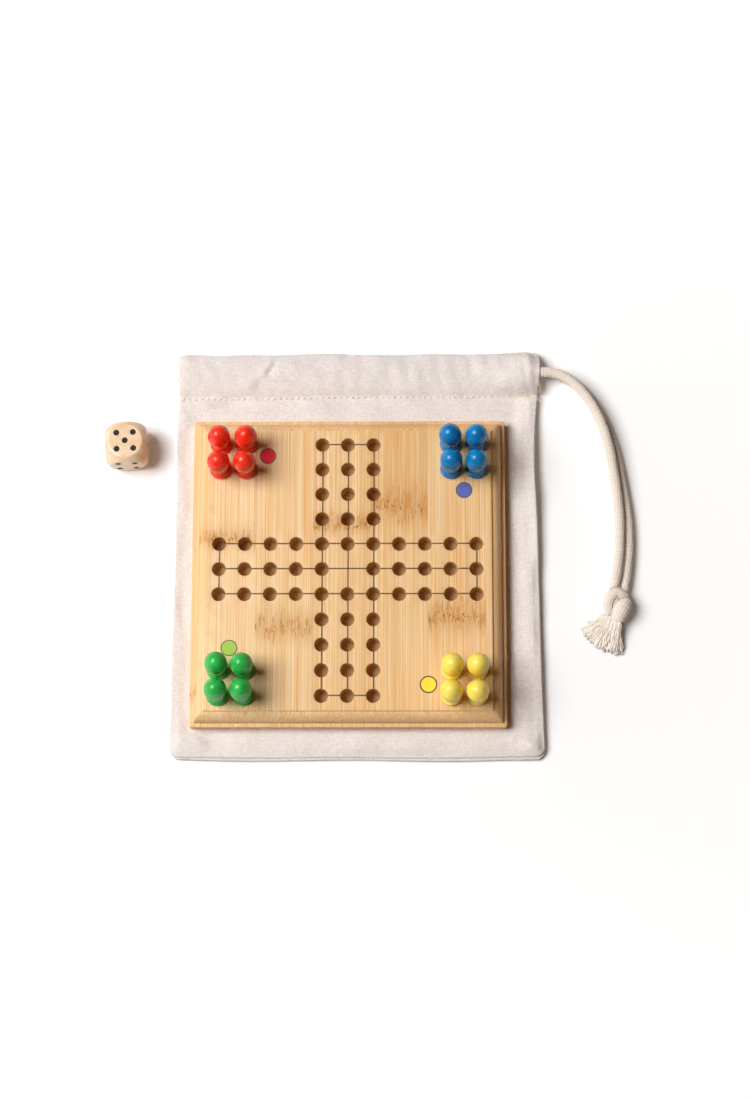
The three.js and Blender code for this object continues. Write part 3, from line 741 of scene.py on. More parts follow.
def route(points, step):
    """Evenly spaced places along the smooth curve through the given points, and the distance to
    each."""
    points = np.array(points, float)
    chord = np.concatenate([[0], np.cumsum(np.linalg.norm(np.diff(points, axis=0), axis=1))])
    fine = through(np.column_stack([chord, points]).tolist(), np.linspace(0, chord[-1], 4000))
    length = np.concatenate([[0], np.cumsum(np.linalg.norm(np.diff(fine, axis=0), axis=1))])
    even = np.linspace(0, length[-1], int(length[-1] / step) + 1)
    return np.stack([np.interp(even, length, fine[:, axis]) for axis in range(3)], axis=-1), even


def knitted_tube(points, radii, wales, stitch):
    """A knitted tube along a route: its radius runs through the given ones from end to end and is drawn
    in where the knit's relief is low. Gives the surface, its faces, the relief of each point, the route
    with its length and the radius along it."""
    path, along = route(points, knit_step)
    radius = np.interp(along, np.linspace(0, along[-1], len(radii)), radii)
    sides = sides_per_wale * wales
    around = np.arange(sides) / sides
    uneven = 0.12 * np.sin(2.1 * along)[:, None] + 0.10 * np.sin(0.83 * along + 1.0)[:, None]
    relief = knit(along[:, None] + uneven, around[None, :] + 0.01 * along[:, None], stitch, wales)
    surface, faces = tubes(path[None] * mm, (radius[:, None] - knit_depth * (1 - relief))[None] * mm, sides)
    return surface, faces, np.concatenate([relief.ravel(), [0.0, 0.0]]), path * mm, along[-1] * mm, radius


def add_strand(name, points):
    """One free strand as a piece of its own, with its route and length."""
    surface, faces, loops, path, length, _ = knitted_tube(points, [cord_radius], knit_wales, knit_stitch)
    strand = add_piece(name, surface, faces, cord_cotton, "bag", marks={"loop": loops})
    return strand, path, length


front_strand, front_path, front_length = add_strand("drawcord_front", front_strand_route)
back_strand, back_path, back_length = add_strand("drawcord_back", back_strand_route)
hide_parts("drawcord_front_strand")
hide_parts("drawcord_back_strand")


# Knot: both strands tied together in one overhand knot, pulled tight. One turn comes up on the right,
# goes over both strands and down on the left, and the last one crosses over it to the lower left.
knot_middle = np.array([102.85, -11.6, 0.0])
knot_crevice = 0.9
knot_stitch = 1.0
knot_turns = [
    ([1.95, 1.95, 2.0], 10, [
        (-0.95, 8.6, 4.65), (-1.3, 7.2, 4.6), (-1.6, 5.4, 4.4), (-1.5, 3.4, 3.9), (-0.8, 0.8, 3.2),
        (0.2, -2.0, 2.4)]),
    ([1.9], 10, [
        (2.95, 8.8, 2.5), (2.8, 7.2, 2.6), (2.4, 5.2, 2.4), (1.7, 2.4, 2.2), (1.2, -0.6, 2.0),
        (0.4, -4.0, 2.0)]),
    ([2.0, 2.1, 2.3, 2.4, 2.45, 2.4, 2.2, 2.0], 12, [
        (3.5, -0.8, 2.6), (3.3, 0.6, 3.4), (2.5, 1.7, 4.2), (1.1, 2.8, 4.9), (-1.1, 3.4, 5.3),
        (-2.9, 1.9, 5.3), (-3.7, -0.1, 4.8), (-3.6, -2.0, 4.0), (-2.9, -3.8, 3.1)]),
    ([2.3], 12, [(-0.8, 2.2, 4.4), (-0.9, 0.4, 4.4), (-0.8, -1.6, 4.0)]),
    ([2.2, 2.8, 3.3, 3.4, 3.2, 2.8], 16, [
        (3.3, 1.0, 3.2), (2.6, -0.3, 4.4), (1.7, -1.8, 5.0), (0.85, -3.4, 5.0), (0.25, -5.0, 4.5),
        (-0.2, -6.6, 3.8)]),
]


def in_crevice(points, number):
    """How far each point of one turn stands clear of the other turns: 0 on their surface, 1 well away."""
    clear = [
        (np.linalg.norm(points[:, None] - part[3][None, ::6], axis=-1) / mm - part[5][::6]).min(axis=1)
        for other, part in enumerate(knot_parts) if other != number
    ]
    return ease(np.min(clear, axis=0), 0, knot_crevice)


knot_parts = [
    knitted_tube(np.array(points) + knot_middle, radii, wales, knot_stitch)
    for radii, wales, points in knot_turns
]
knot_starts = np.concatenate([[0], np.cumsum([len(part[0]) for part in knot_parts])[:-1]])
knot_faces = [block + start for part, start in zip(knot_parts, knot_starts) for block in part[1]]
# Painted shade: each turn's knit is darkened where it lies against another turn, as well as in its grooves.
knot_loops_and_crevice_shade = [(0.1 + 0.9 * part[2]) * in_crevice(part[0], i) for i, part in enumerate(knot_parts)]
knot = add_piece(
    "drawcord_knot_turns", np.concatenate([part[0] for part in knot_parts]), knot_faces, cord_cotton, "bag",
    marks={"loop": np.concatenate(knot_loops_and_crevice_shade)},
)
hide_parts("drawcord_knot")


# Tassel: the cord's two cut ends beyond the knot, untwisted into loose yarns that fan out over the table
# to the lower left: thick soft ones below, and thin crinkled ones over them.
tassel_neck = np.array([100.9, -17.2])
tassel_neck_run = np.array([5.2, -2.0])
tassel_length = (9.4, 13.3)
tassel_spread = np.radians([-53.0, -4.0])
tassel_layers = [(190, 0.70, (0.9, 3.0), (0.25, 0.75)), (560, 0.22, (2.4, 4.3), (0.1, 1.2))]
tassel_draw = np.random.default_rng(5)
tassel_rings = 22
tassel_sides = 5


def tassel_layer(count, radius, height, tones):
    """Yarns from the knot's mouth to a fan on the table: a straight way plus a slow sideways wave and a
    quick crinkle that grow towards the end, with a height that falls ever faster and stays on the
    table."""
    share = tassel_draw.uniform(0, 1, count)
    angle = tassel_spread[0] + (tassel_spread[1] - tassel_spread[0]) * share
    angle = angle + tassel_draw.normal(0, 0.05, count)
    reach = (tassel_draw.uniform(*tassel_length, count) - radius) * (0.87 + 0.13 * np.minimum(2 * share, 1))
    heading = np.stack([np.sin(angle), -np.cos(angle)], axis=-1)
    across = np.stack([heading[:, 1], -heading[:, 0]], axis=-1)
    start = (share - 0.5)[:, None] * tassel_neck_run + tassel_draw.normal(0, 0.35, (count, 2))
    along = np.linspace(0, 1, tassel_rings)
    draw = tassel_draw.uniform(0, 1, (6, count, 1))
    slow = np.sin(2 * np.pi * (along * (0.5 + draw[0]) + draw[1]))
    quick = np.sin(2 * np.pi * (along * (2.5 + 2.5 * draw[2]) + draw[3]))
    bend = ((0.3 + 0.7 * draw[4]) * slow + 0.15 * quick) * along
    straight = heading[:, None] * (reach[:, None] * along)[..., None]
    plan = start[:, None] + straight + across[:, None] * bend[..., None]
    top = (height[0] + (height[1] - height[0]) * draw[5]) * (0.75 + 0.5 * share[:, None])
    end = radius + 0.25 * top
    fall = end + (top - end) * (1 - along**1.8) + 0.15 * slow * along
    place = np.concatenate([plan + tassel_neck, np.maximum(fall, radius)[..., None]], axis=-1)
    radii = radius * (1 + 0.2 * np.sin(40 * along)) * (1 - 0.5 * along**6)
    points, faces = tubes(place * mm, radii[None, :, None] * mm, tassel_sides)
    loops = np.repeat(tassel_draw.uniform(*tones, count), tassel_rings * tassel_sides)
    return points, faces, np.concatenate([loops, np.full(2 * count, tones[1])])


layers = [tassel_layer(*layer) for layer in tassel_layers]
points = np.concatenate([layer[0] for layer in layers])
faces = layers[0][1] + [block + len(layers[0][0]) for block in layers[1][1]]
yarn_loops = np.concatenate([layer[2] for layer in layers])
tassel_cotton = cord_finish("tassel_yarn", "e8caa6", "fcf1e4", 1.8)
tassel = add_piece(
    "drawcord_tassel_yarns", points, faces, tassel_cotton, "bag", marks={"loop": yarn_loops},
)
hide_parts("drawcord_tassel")


# Board: one slab of edge-glued bamboo strips with a stepped quarter-round moulding, drilled with a cross
# of track holes and four home corners, and lightly sanded at every arris.
board_low, board_high = (np.array(corner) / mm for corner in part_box("board"))
board_top = board_high[2]
blue_first, blue_last = (np.array(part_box(name)) / mm for name in ("pawn_blue_1", "pawn_blue_4"))
hole_pitch = (blue_last.mean(axis=0) - blue_first.mean(axis=0))[0]
home_reach, grid_reach, track_reach = 4, 5, 1
drilling_shift = blue_first.mean(axis=0)[:2] - home_reach * hole_pitch
hole_radius = 2.65
hole_floor = board_low[2] + 3.0
rim_round = 0.22
edge_lip, ovolo_run, ovolo_drop, edge_step = 1.5, 4.0, 4.5, 0.8
arris = 0.22
top_round, ovolo_round, upright_round = 0.3, 0.5, 0.9
floor_round = 0.3
cell_steps = 16
strip_start, strip_width = -57.2, 21.86
knuckles = [
    (3, 24.0, 8.5), (1, -22.8, 6.5), (4, -18.9, 7.0), (0, 11.4, 4.5), (2, 17.2, 4.5), (-1, -46.8, 3.0),
]
top_half = board_half - edge_lip - ovolo_run


def cell_edges(shift):
    """Edges of the drilling grid's cells: halfway between the holes, and the flat top's own edge at both
    ends."""
    middle = shift + hole_pitch * np.arange(-grid_reach, grid_reach + 1)
    return middle, np.concatenate([[-top_half], (middle[1:] + middle[:-1]) / 2, [top_half]])


def square_ring(low, high):
    """Points round a rectangle from its lower left corner, the same number on each side."""
    t = np.linspace(0, 1, cell_steps, endpoint=False)
    sides = [(t, 0 * t), (1 + 0 * t, t), (1 - t, 1 + 0 * t), (0 * t, 1 - t)]
    unit = np.concatenate([np.stack(side, axis=1) for side in sides])
    return low[..., None, :] + unit * (high - low)[..., None, :]


def rounded(points, half, radius):
    """A square ring with its corners brought onto an arc of the given radius."""
    reach = half - radius
    past = np.maximum(np.abs(points) - reach, 0) / radius
    turn = past.min(axis=-1) * np.pi / 4
    near_x = np.stack([np.cos(turn), np.sin(turn)], axis=-1)
    near_y = np.stack([np.sin(turn), np.cos(turn)], axis=-1)
    arc = np.where(past[..., :1] >= past[..., 1:], near_x, near_y)
    corner = (past.min(axis=-1) > 0)[..., None]
    return np.where(corner, np.sign(points) * (reach + radius * arc), points)


def at_height(plan, height):
    """Points of a plan, all at one height."""
    return np.concatenate([plan, np.full((*plan.shape[:-1], 1), height)], axis=-1)


def along_cells(edges):
    """Evenly stepped places along a row of cells, the same number in each."""
    step = np.linspace(0, 1, cell_steps, endpoint=False)
    return (edges[:-1, None] + np.diff(edges)[:, None] * step).ravel()


column_x, cell_x = cell_edges(drilling_shift[0])
row_y, cell_y = cell_edges(drilling_shift[1])
grid_numbers = np.arange(-grid_reach, grid_reach + 1)
columns, rows = np.meshgrid(grid_numbers, grid_numbers, indexing="ij")
nearest = np.minimum(np.abs(columns), np.abs(rows))
drilled = ((nearest <= track_reach) & ((columns != 0) | (rows != 0))) | (nearest >= home_reach)
cell_low = np.stack(np.meshgrid(cell_x[:-1], cell_y[:-1], indexing="ij"), axis=-1).reshape(-1, 2)
cell_high = np.stack(np.meshgrid(cell_x[1:], cell_y[1:], indexing="ij"), axis=-1).reshape(-1, 2)
cell_middle = np.stack(np.meshgrid(column_x, row_y, indexing="ij"), axis=-1).reshape(-1, 2)
has_hole = drilled.ravel()
outer_rings = square_ring(cell_low, cell_high)
around = np.linspace(-0.75 * np.pi, 1.25 * np.pi, 4 * cell_steps, endpoint=False)
circle = np.stack([np.cos(around), np.sin(around)], axis=-1)
rim_turn = np.linspace(0, np.pi / 2, 4)
hole_rings = [
    (hole_radius + rim_round * (1 - np.sin(t)), board_top - rim_round * (1 - np.cos(t))) for t in rim_turn
]
hole_rings += [(hole_radius, hole_floor + floor_round), (hole_radius - floor_round, hole_floor)]
hole_rings += [(0.3, hole_floor)]
hole_stack = [at_height(outer_rings[has_hole], board_top)]
for ring_radius, ring_z in hole_rings:
    hole_stack.append(at_height(cell_middle[has_hole][:, None] + ring_radius * circle, ring_z))
hole_stack = np.stack(hole_stack, axis=1)
hole_index = np.arange(hole_stack[..., 0].size).reshape(hole_stack.shape[:3])
blank_rings = at_height(outer_rings[~has_hole], board_top)
blank_faces = hole_index.size + np.arange(blank_rings[..., 0].size).reshape(blank_rings.shape[:2])

side_x = along_cells(cell_x)
side_y = along_cells(cell_y)
top_ring = np.concatenate([
    np.stack([side_x, 0 * side_x - top_half], 1), np.stack([0 * side_y + top_half, side_y], 1),
    np.stack([-side_x, 0 * side_x + top_half], 1), np.stack([0 * side_y - top_half, -side_y], 1),
])
top_ring[2 * len(side_x):3 * len(side_x), 0] = np.append(side_x[1:], top_half)[::-1]
top_ring[3 * len(side_x):, 1] = np.append(side_y[1:], top_half)[::-1]
lip_z = board_top - edge_step - ovolo_drop
quarter = np.linspace(np.pi / 2, 0, 13)
small = np.linspace(0, np.pi / 2, 4)
edge_profile = [
    (top_half + arris * np.sin(t), board_top - arris * (1 - np.cos(t)), top_round) for t in small[1:]
]
edge_profile += [(top_half + arris, board_top - edge_step, top_round)]
edge_profile += [
    (top_half + arris + (ovolo_run - arris) * np.cos(t), lip_z + ovolo_drop * np.sin(t), ovolo_round)
    for t in quarter[1:]
]
edge_profile += [
    (board_half - arris * (1 - np.sin(t)), lip_z - arris * (1 - np.cos(t)), upright_round) for t in small
]
edge_profile += [
    (board_half - arris * (1 - np.cos(t)), board_low[2] + arris * (1 - np.sin(t)), upright_round)
    for t in small
]
edge_rings = [at_height(top_ring, board_top)]
for half, ring_z, corner_round in edge_profile:
    edge_rings.append(at_height(rounded(top_ring * half / top_half, half, corner_round), ring_z))
edge_rings = np.stack(edge_rings)
edge_start = hole_index.size + blank_faces.size
edge_index = edge_start + np.arange(edge_rings[..., 0].size).reshape(edge_rings.shape[:2])
board_points = np.concatenate([part.reshape(-1, 3) for part in (hole_stack, blank_rings, edge_rings)])
board_faces = [
    ring_quads(hole_index), hole_index[:, -1], blank_faces, ring_quads(edge_index)[:, [0, 3, 2, 1]],
    edge_index[-1:, ::-1],
]


def bamboo_finish():
    """Edge-glued bamboo: strips of slightly different tone, each with long fine streaks and short dark
    fibre ends along Y, browner knuckles across single strips, and hole walls browner, partly from the
    drill and partly as painted shade."""
    bamboo = Finish("bamboo", {"Specular IOR Level": 0.28})
    place = bamboo.place()
    across = bamboo.node("SeparateXYZ", {0: place}, output=0)
    along = bamboo.node("SeparateXYZ", {0: place}, output=1)
    strip_place = bamboo.math("DIVIDE", bamboo.math("SUBTRACT", across, strip_start * mm), strip_width * mm)
    strip = bamboo.math("FLOOR", strip_place)
    strip_tone = bamboo.rise(strip, 0.4, 2.0, 0.04, 0.34)
    shift_across = bamboo.math("MULTIPLY", strip, 3.7)
    shift_along = bamboo.math("MULTIPLY", strip, 11.9)
    strip_shift = bamboo.node("CombineXYZ", {0: shift_across, 1: shift_along})
    own = bamboo.node("VectorMath", {0: place, 1: strip_shift}, operation="ADD")
    bands = bamboo.noise(bamboo.stretched(own, (260.0, 3.0, 120.0)), 1.0, 2.0, 0.5)
    streaks = bamboo.noise(bamboo.stretched(own, (2900.0, 9.0, 1500.0)), 1.0, 3.0, 0.6)
    fine = bamboo.noise(bamboo.stretched(own, (4300.0, 16.0, 3200.0)), 1.0, 2.0, 0.6)
    fibres = bamboo.noise(bamboo.stretched(own, (1700.0, 210.0, 1300.0)), 1.0, 2.0, 0.6)
    dots = bamboo.noise(bamboo.stretched(own, (1400.0, 760.0, 1300.0)), 1.0, 1.0, 0.6)
    waver = bamboo.noise(bamboo.stretched(place, (300.0, 60.0, 60.0)), 1.0)
    wobble = bamboo.math("MULTIPLY", bamboo.math("SUBTRACT", waver, 0.5), 0.008)
    knuckle = 0.0
    for number, middle, half in knuckles:
        above = bamboo.math("ADD", bamboo.math("SUBTRACT", along, middle * mm), wobble)
        below = bamboo.math("MULTIPLY", above, -1.0)
        away = bamboo.math("MAXIMUM", below, bamboo.math("MULTIPLY", above, 0.65))
        this_strip = bamboo.math("COMPARE", strip, float(number))
        band = bamboo.math("MULTIPLY", bamboo.rise(away, 0.0, 1.35 * half * mm, 1.0, 0.0), this_strip)
        knuckle = bamboo.math("MAXIMUM", knuckle, band)
    seam = bamboo.math("ABSOLUTE", bamboo.math("SUBTRACT", bamboo.math("FRACT", strip_place), 0.5))
    glue_line = bamboo.rise(seam, 0.492, 0.5, 0.0, 0.2)
    honey = bamboo.mix(bamboo.rise(bands, 0.3, 0.7), shade("f3d2a2"), shade("edc58d"))
    upper_part = bamboo.rise(along, 0.0, 0.03, 0.0, 0.4)
    brown_strip = bamboo.math("MULTIPLY", bamboo.math("COMPARE", strip, 3.0), upper_part)
    tone = bamboo.mix(bamboo.math("ADD", strip_tone, brown_strip), honey, shade("d9a566"))
    streaked = bamboo.mix(bamboo.rise(streaks, 0.48, 0.63, 0.0, 0.78), tone, shade("e39c4a"))
    lined = bamboo.mix(bamboo.rise(fine, 0.50, 0.62, 0.0, 0.55), streaked, shade("fbe4be"))
    darker = bamboo.mix(bamboo.math("MULTIPLY", knuckle, 0.38), lined, shade("c48c4c"))
    fibre_low = bamboo.node("MapRange", {0: knuckle, 1: 0.0, 2: 1.0, 3: 0.76, 4: 0.46})
    fibre = bamboo.rise(bamboo.math("SUBTRACT", fibres, fibre_low), 0.0, 0.09, 0.0, 0.70)
    flecked = bamboo.mix(fibre, darker, shade("c9873e"))
    dot_low = bamboo.node("MapRange", {0: knuckle, 1: 0.7, 2: 1.0, 3: 0.95, 4: 0.62})
    dot = bamboo.rise(bamboo.math("SUBTRACT", dots, dot_low), 0.0, 0.03, 0.0, 0.75)
    dashed = bamboo.mix(dot, flecked, shade("6b4420"))
    height = bamboo.node("SeparateXYZ", {0: place}, output=2)
    moulded = bamboo.rise(height, (board_top - 0.9) * mm, (board_top - 0.1) * mm, 0.14, 0.0)
    browned = bamboo.mix(moulded, dashed, shade("cf9e69"))
    # The walls and floors of the holes are browner: partly burnish from the drill, partly painted shade
    # down the holes.
    bored = bamboo.node("Attribute", output="Fac", attribute_name="bored")
    browned = bamboo.mix(bamboo.math("MULTIPLY", bored, 0.3), browned, shade("96703e"))
    glued = bamboo.mix(glue_line, browned, shade("a8743c"))
    grain = bamboo.bump(fine, 0.00002, bamboo.bump(streaks, 0.00003))
    bamboo.finish(Base_Color=glued, Normal=grain, Roughness=bamboo.rise(streaks, 0.3, 0.7, 0.40, 0.52))
    return bamboo


bamboo = bamboo_finish()
# Hole walls and floors get the bored mark: browner, partly from the drill and partly as painted shade.
bored = np.zeros(len(board_points))
bored[:hole_index.size].reshape(hole_index.shape)[:, 3:] = 1
board = add_piece(
    "bamboo_board", board_points * mm, board_faces, bamboo, "board",
    marks={"bored": bored}, sharp=38,
)
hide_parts("board")


# Track print: thin dark lines that join the holes of the cross, stopping at each rim, and printed a
# little out of place over the drilling.
print_shift = np.array([0.12, 0.15])
line_half = 0.27
print_raise = 0.015
print_sunk = 0.10
rim_gap = -0.17


def printed_lines():
    """Ends of every line as (x, y) pairs: along the three middle columns and rows from end to end, and
    across the four ends of the cross. Each is shortened by the hole's rim where it meets a hole."""
    step = np.arange(-grid_reach, grid_reach)
    columns = [((c, r), (c, r + 1)) for c in (-1, 0, 1) for r in step]
    rows = [((c, r), (c + 1, r)) for r in (-1, 0, 1) for c in step]
    caps = [((c, r), (c + 1, r)) for r in (-grid_reach, grid_reach) for c in (-1, 0)]
    caps += [((c, r), (c, r + 1)) for c in (-grid_reach, grid_reach) for r in (-1, 0)]
    ends = np.array(columns + rows + caps)
    holed = drilled[ends[..., 0] + grid_reach, ends[..., 1] + grid_reach]
    place = drilling_shift + ends * hole_pitch
    run = (ends[:, 1] - ends[:, 0])[:, None] * np.array([1, -1])[None, :, None]
    trimmed = place + run * (holed * (hole_radius + rim_round + rim_gap))[..., None]
    return trimmed + print_shift * (1 - np.abs(run))


def slabs(low, high, floor, top):
    """Thin upright boxes between opposite corners (x, y), from floor to top."""
    corner = np.array([(0, 0), (1, 0), (1, 1), (0, 1)])
    plan = low[:, None] * (1 - corner) + high[:, None] * corner
    points = np.concatenate([at_height(plan, z) for z in (floor, top)], axis=1)
    box = np.array([(3, 2, 1, 0), (4, 5, 6, 7), (0, 1, 5, 4), (1, 2, 6, 5), (2, 3, 7, 6), (3, 0, 4, 7)])
    return points.reshape(-1, 3), (box + 8 * np.arange(len(low))[:, None, None]).reshape(-1, 4)


def ink_finish(name, ink, worn):
    """Flat ink soaked into the wood, broken along the grain."""
    print_ink = Finish(name, {"Roughness": 0.55, "Specular IOR Level": 0.3})
    grain = print_ink.noise(print_ink.stretched(print_ink.place(), (2600.0, 60.0, 1.0)), 1.0, 3.0, 0.6)
    print_ink.finish(
        Base_Color=print_ink.mix(print_ink.rise(grain, 0.48, 0.74, 0.0, 0.6), shade(ink), shade(worn)),
        Normal=print_ink.bump(grain, 0.00002),
    )
    return print_ink


line_ends = printed_lines()
line_low = line_ends.min(axis=1) - line_half * (np.ptp(line_ends, axis=1) < line_half)
line_high = line_ends.max(axis=1) + line_half * (np.ptp(line_ends, axis=1) < line_half)
points, faces = slabs(line_low, line_high, board_top - print_sunk, board_top + print_raise)
line_ink = ink_finish("line_ink", "64503e", "957552")
add_piece("track_lines", points * mm, [faces], line_ink, "board", sharp=30)


# Start dots: one flat disc of ink beside each home, in the team's colour, with a dark ring printed round
# it.
dot_radius = 2.80
dot_steps = 64
ring_raise = 0.004
start_dots = {
    "red": ((-31.1, 44.65), "f0223a", "f0585c", 0.36),
    "blue": ((44.15, 30.95), "5a66b2", "7480c0", 0.36),
    "yellow": ((30.35, -44.7), "f5dc34", "f8e870", 0.55),
    "green": ((-44.95, -30.65), "a4c64e", "b2d266", 0.36),
}


def turned(profile, steps, middle):
    """A closed ring of (radius, height) points turned about the upright through middle."""
    angle = np.linspace(0, 2 * np.pi, steps, endpoint=False)
    profile = np.array(profile)
    plan = profile[:, None, :1] * np.stack([np.cos(angle), np.sin(angle)], axis=-1)
    height = np.broadcast_to(profile[:, None, 1:], (*plan.shape[:2], 1))
    return np.concatenate([plan + np.array(middle), height], axis=-1)


dot_top, dot_floor = board_top + print_raise, board_top - print_sunk
disc_index = np.arange(2 * dot_steps).reshape(2, dot_steps)
disc_faces = [ring_quads(disc_index), disc_index[:1, ::-1], disc_index[1:]]
ring_index = np.arange(4 * dot_steps).reshape(4, dot_steps)
ring_faces = [ring_quads(np.append(ring_index, ring_index[:1], axis=0))]
for colour, (middle, ink, worn, ring_width) in start_dots.items():
    disc = turned([(dot_radius, dot_floor), (dot_radius, dot_top)], dot_steps, middle)
    add_piece(
        f"start_dot_{colour}", disc.reshape(-1, 3) * mm, disc_faces, ink_finish(f"{colour}_ink", ink, worn),
        "board", sharp=30,
    )
    ring_section = [(dot_radius, dot_floor), (dot_radius + ring_width, dot_floor)]
    ring_section += [(dot_radius + ring_width, dot_top + ring_raise), (dot_radius, dot_top + ring_raise)]
    ring = turned(ring_section, dot_steps, middle)
    add_piece(
        f"start_ring_{colour}", ring.reshape(-1, 3) * mm, ring_faces, line_ink, "board", sharp=30,
    )


# Pawns: turned in one piece with a peg, a round foot, a waist and an egg-shaped head, and dipped in gloss
# paint. Each stands in its own hole with a slight lean of its own.
foot_z = board_top + 0.3
peg_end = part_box("pawn_red_1")[0][2] / mm - foot_z
peg_round = 0.5
peg_radius, foot_radius, waist_radius, head_radius = 2.35, 4.0, 2.45, 4.3
foot_rim, foot_round, waist_height, head_belly, head_top = 1.5, 0.45, 4.3, 7.5, 5.6
pawn_steps = 56
paint_tones = {
    "red": ("fa3a22", "ee2c18"),
    "blue": ("0b7ebc", "086eac"),
    "green": ("36b952", "28a845"),
    "yellow": ("ffe566", "f8da54"),
}
pawn_leans = {
    "red": [(0.0, -0.9), (1.9, 0.0), (0.0, -0.9), (0.3, 0.0)],
    "blue": [(0.9, 0.9), (-0.9, 1.9), (0.0, 0.9), (0.0, 0.9)],
    "green": [(0.0, 0.0), (-0.9, 0.9), (1.4, 1.4), (0.9, 0.9)],
    "yellow": [(0.9, -0.9), (-0.9, -0.9), (0.0, -0.9), (-0.9, -1.9)],
}


def pawn_profile():
    """(radius, height) from the peg's end to the crown: a peg with a rounded end, a foot with round
    edges, a hollow sweep to the waist, an S-curve to the head's belly and a quarter ellipse over the
    top."""
    quarter = np.linspace(0, np.pi / 2, 6)
    t = np.linspace(0, 1, 14)[1:]
    peg_out = peg_radius - peg_round + peg_round * np.sin(quarter)
    peg = np.stack([peg_out, peg_end + peg_round * (1 - np.cos(quarter))], axis=1)
    under = np.array([(peg_radius, 0.0)])
    foot_out = foot_radius - foot_round + foot_round * np.sin(quarter)
    foot_low = np.stack([foot_out, foot_round * (1 - np.cos(quarter))], axis=1)
    rim_out = foot_radius - 0.5 * (1 - np.cos(quarter))
    foot_high = np.stack([rim_out, foot_rim - 0.4 + 0.6 * np.sin(quarter)], axis=1)
    sweep_pull = np.array([waist_radius + 0.35, foot_rim + 0.9])
    waist = np.array([waist_radius, waist_height])
    sweep = np.outer((1 - t) ** 2, foot_high[-1]) + np.outer(2 * t * (1 - t), sweep_pull)
    sweep = sweep + np.outer(t**2, waist)
    belly = np.array([head_radius, waist_height + head_belly])
    low_pull = np.array([waist_radius, waist_height + 0.42 * head_belly])
    high_pull = np.array([head_radius, waist_height + 0.45 * head_belly])
    neck = np.outer((1 - t) ** 3, waist) + np.outer(3 * t * (1 - t) ** 2, low_pull)
    neck = neck + np.outer(3 * t**2 * (1 - t), high_pull) + np.outer(t**3, belly)
    dome = np.linspace(0, np.pi / 2 - 0.02, 18)[1:]
    crown = np.stack([head_radius * np.cos(dome), belly[1] + head_top * np.sin(dome)], axis=1)
    return np.concatenate([peg, under, foot_low, foot_high, sweep, neck, crown])


def paint_finish(name, tone, deep):
    """Gloss paint dipped over wood: nearly even, a little deeper where it ran thick, slightly pebbled,
    with dust specks in it."""
    paint = Finish(name, {"Specular IOR Level": 0.42})
    place = paint.place()
    thick = paint.noise(place, 320.0, 2.0)
    pebble = paint.noise(place, 1500.0, 2.0, 0.6)
    specks = paint.rise(paint.noise(place, 2200.0, 0.0), 0.86, 0.88, 0.0, 0.5)
    even = paint.mix(paint.rise(thick, 0.35, 0.7), shade(tone), shade(deep))
    paint.finish(
        Base_Color=paint.mix(specks, even, shade("5a2018")),
        Roughness=paint.rise(pebble, 0.3, 0.7, 0.20, 0.27),
        Normal=paint.bump(pebble, 0.000006, paint.bump(thick, 0.00004)),
    )
    return paint


profile = pawn_profile()
solid = turned(profile, pawn_steps, (0.0, 0.0)).reshape(-1, 3)
pawn_index = np.arange(len(solid)).reshape(-1, pawn_steps)
pawn_faces = [ring_quads(pawn_index), pawn_index[:1, ::-1], pawn_index[-1:]]
for colour, (tone, deep) in paint_tones.items():
    paint = paint_finish(f"{colour}_gloss_paint", tone, deep)
    for number in range(1, 5):
        node = f"pawn_{colour}_{number}"
        middle = (np.array(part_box(node)).mean(axis=0) / mm)[:2]
        lean = np.tan(np.radians([*pawn_leans[colour][number - 1], 0.0]))
        leaning = solid + solid[:, 2:] * lean
        standing = leaning + np.array([*middle, foot_z])
        pawn = add_piece(
            f"{node}_turned", standing * mm, pawn_faces, paint, node, sharp=50,
        )
        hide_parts(node)


# Die: a beech cube tumbled until its corners are round, varnished, with drilled pips painted black.
# Opposite faces add up to seven.
die_low, die_high = (np.array(corner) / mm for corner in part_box("die"))
die_middle = (die_low + die_high) / 2
die_half = (die_high[2] - die_low[2]) / 2
die_round = 10.3
die_turn = np.radians(2.5)
die_steps = 96
die_soften = 0.05
pip_radius, pip_depth, pip_place = 1.15, 0.38, 3.2
pip_spots = {
    1: [(0, 0)],
    2: [(-1, -1), (1, 1)],
    3: [(-1, -1), (0, 0), (1, 1)],
    4: [(-1, -1), (-1, 1), (1, -1), (1, 1)],
}
pip_spots[5] = pip_spots[4] + [(0, 0)]
pip_spots[6] = pip_spots[4] + [(-1, 0), (1, 0)]
die_faces = {(2, 1): 5, (1, -1): 4, (0, 1): 1, (2, -1): 2, (1, 1): 3, (0, -1): 6}


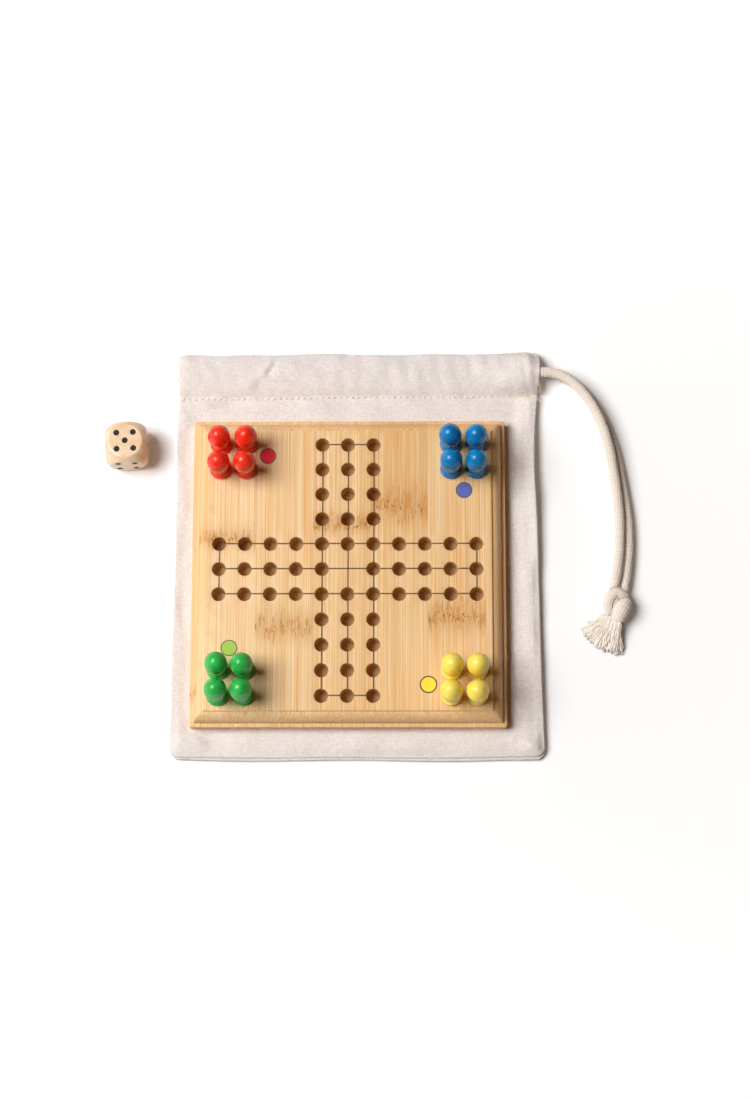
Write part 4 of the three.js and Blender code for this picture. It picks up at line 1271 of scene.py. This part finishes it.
def die_face(axis, way, value):
    """One face as a grid of directions from the middle. Each goes out to the nearer of the cube's faces
    and the tumbling sphere, softened where they meet, and is pressed in as a shallow bowl at each pip."""
    t = np.tan(np.linspace(-np.pi / 4, np.pi / 4, die_steps + 1))
    first, second = np.meshgrid(t, t, indexing="ij")
    parts = [first, second]
    parts.insert(axis, np.full_like(first, float(way)))
    direction = np.stack(parts, axis=-1)
    direction /= np.linalg.norm(direction, axis=-1, keepdims=True)
    flat = die_half / np.abs(direction).max(axis=-1)
    reach = np.minimum(flat, die_round) - die_soften * np.exp(-np.abs(flat - die_round) / (2 * die_soften))
    points = direction * reach[..., None]
    plan = np.delete(points, axis, axis=-1)
    pip = np.full_like(first, -1.0)
    for a, b in pip_spots[value]:
        away = np.hypot(plan[..., 0] - a * pip_place, plan[..., 1] - b * pip_place)
        pip = np.maximum(pip, 1 - away / pip_radius)
    points[..., axis] -= way * pip_depth * np.sqrt(np.clip(pip, 0, 1))
    return points, pip


def beech_finish():
    """Varnished pale wood with faint grain, and black paint in the pips."""
    beech = Finish("varnished_beech", {"Specular IOR Level": 0.55})
    place = beech.place()
    grain = beech.noise(beech.stretched(place, (380.0, 900.0, 380.0)), 1.0, 3.0, 0.6)
    broad = beech.noise(beech.stretched(place, (90.0, 240.0, 90.0)), 1.0, 2.0)
    pip = beech.node("Attribute", output="Fac", attribute_name="pip")
    pale = beech.mix(beech.rise(broad, 0.35, 0.65), shade("f3d8b6"), shade("ecc9a2"))
    grained = beech.mix(beech.rise(grain, 0.5, 0.75, 0.0, 0.5), pale, shade("d9a873"))
    beech.finish(
        Base_Color=beech.mix(beech.rise(pip, -0.05, 0.04), grained, shade("2c2728")),
        Roughness=beech.rise(pip, -0.05, 0.04, 0.2, 0.85),
        Normal=beech.bump(grain, 0.00001),
    )
    return beech


die_grids = [die_face(axis, way, value) for (axis, way), value in die_faces.items()]
die_points = np.concatenate([points.reshape(-1, 3) for points, pip in die_grids])
die_pips = np.concatenate([pip.ravel() for points, pip in die_grids])
turn_cos, turn_sin = np.cos(die_turn), np.sin(die_turn)
turn = np.array([[turn_cos, -turn_sin, 0], [turn_sin, turn_cos, 0], [0, 0, 1]])
die_points = die_points @ turn.T + die_middle
grid_size = (die_steps + 1) ** 2
die_quads = [cloth_faces((die_steps + 1, die_steps + 1)) + grid_size * i for i in range(len(die_grids))]
die = add_piece(
    "wooden_die", die_points * mm, die_quads, beech_finish(), "die", marks={"pip": die_pips},
)
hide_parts("die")
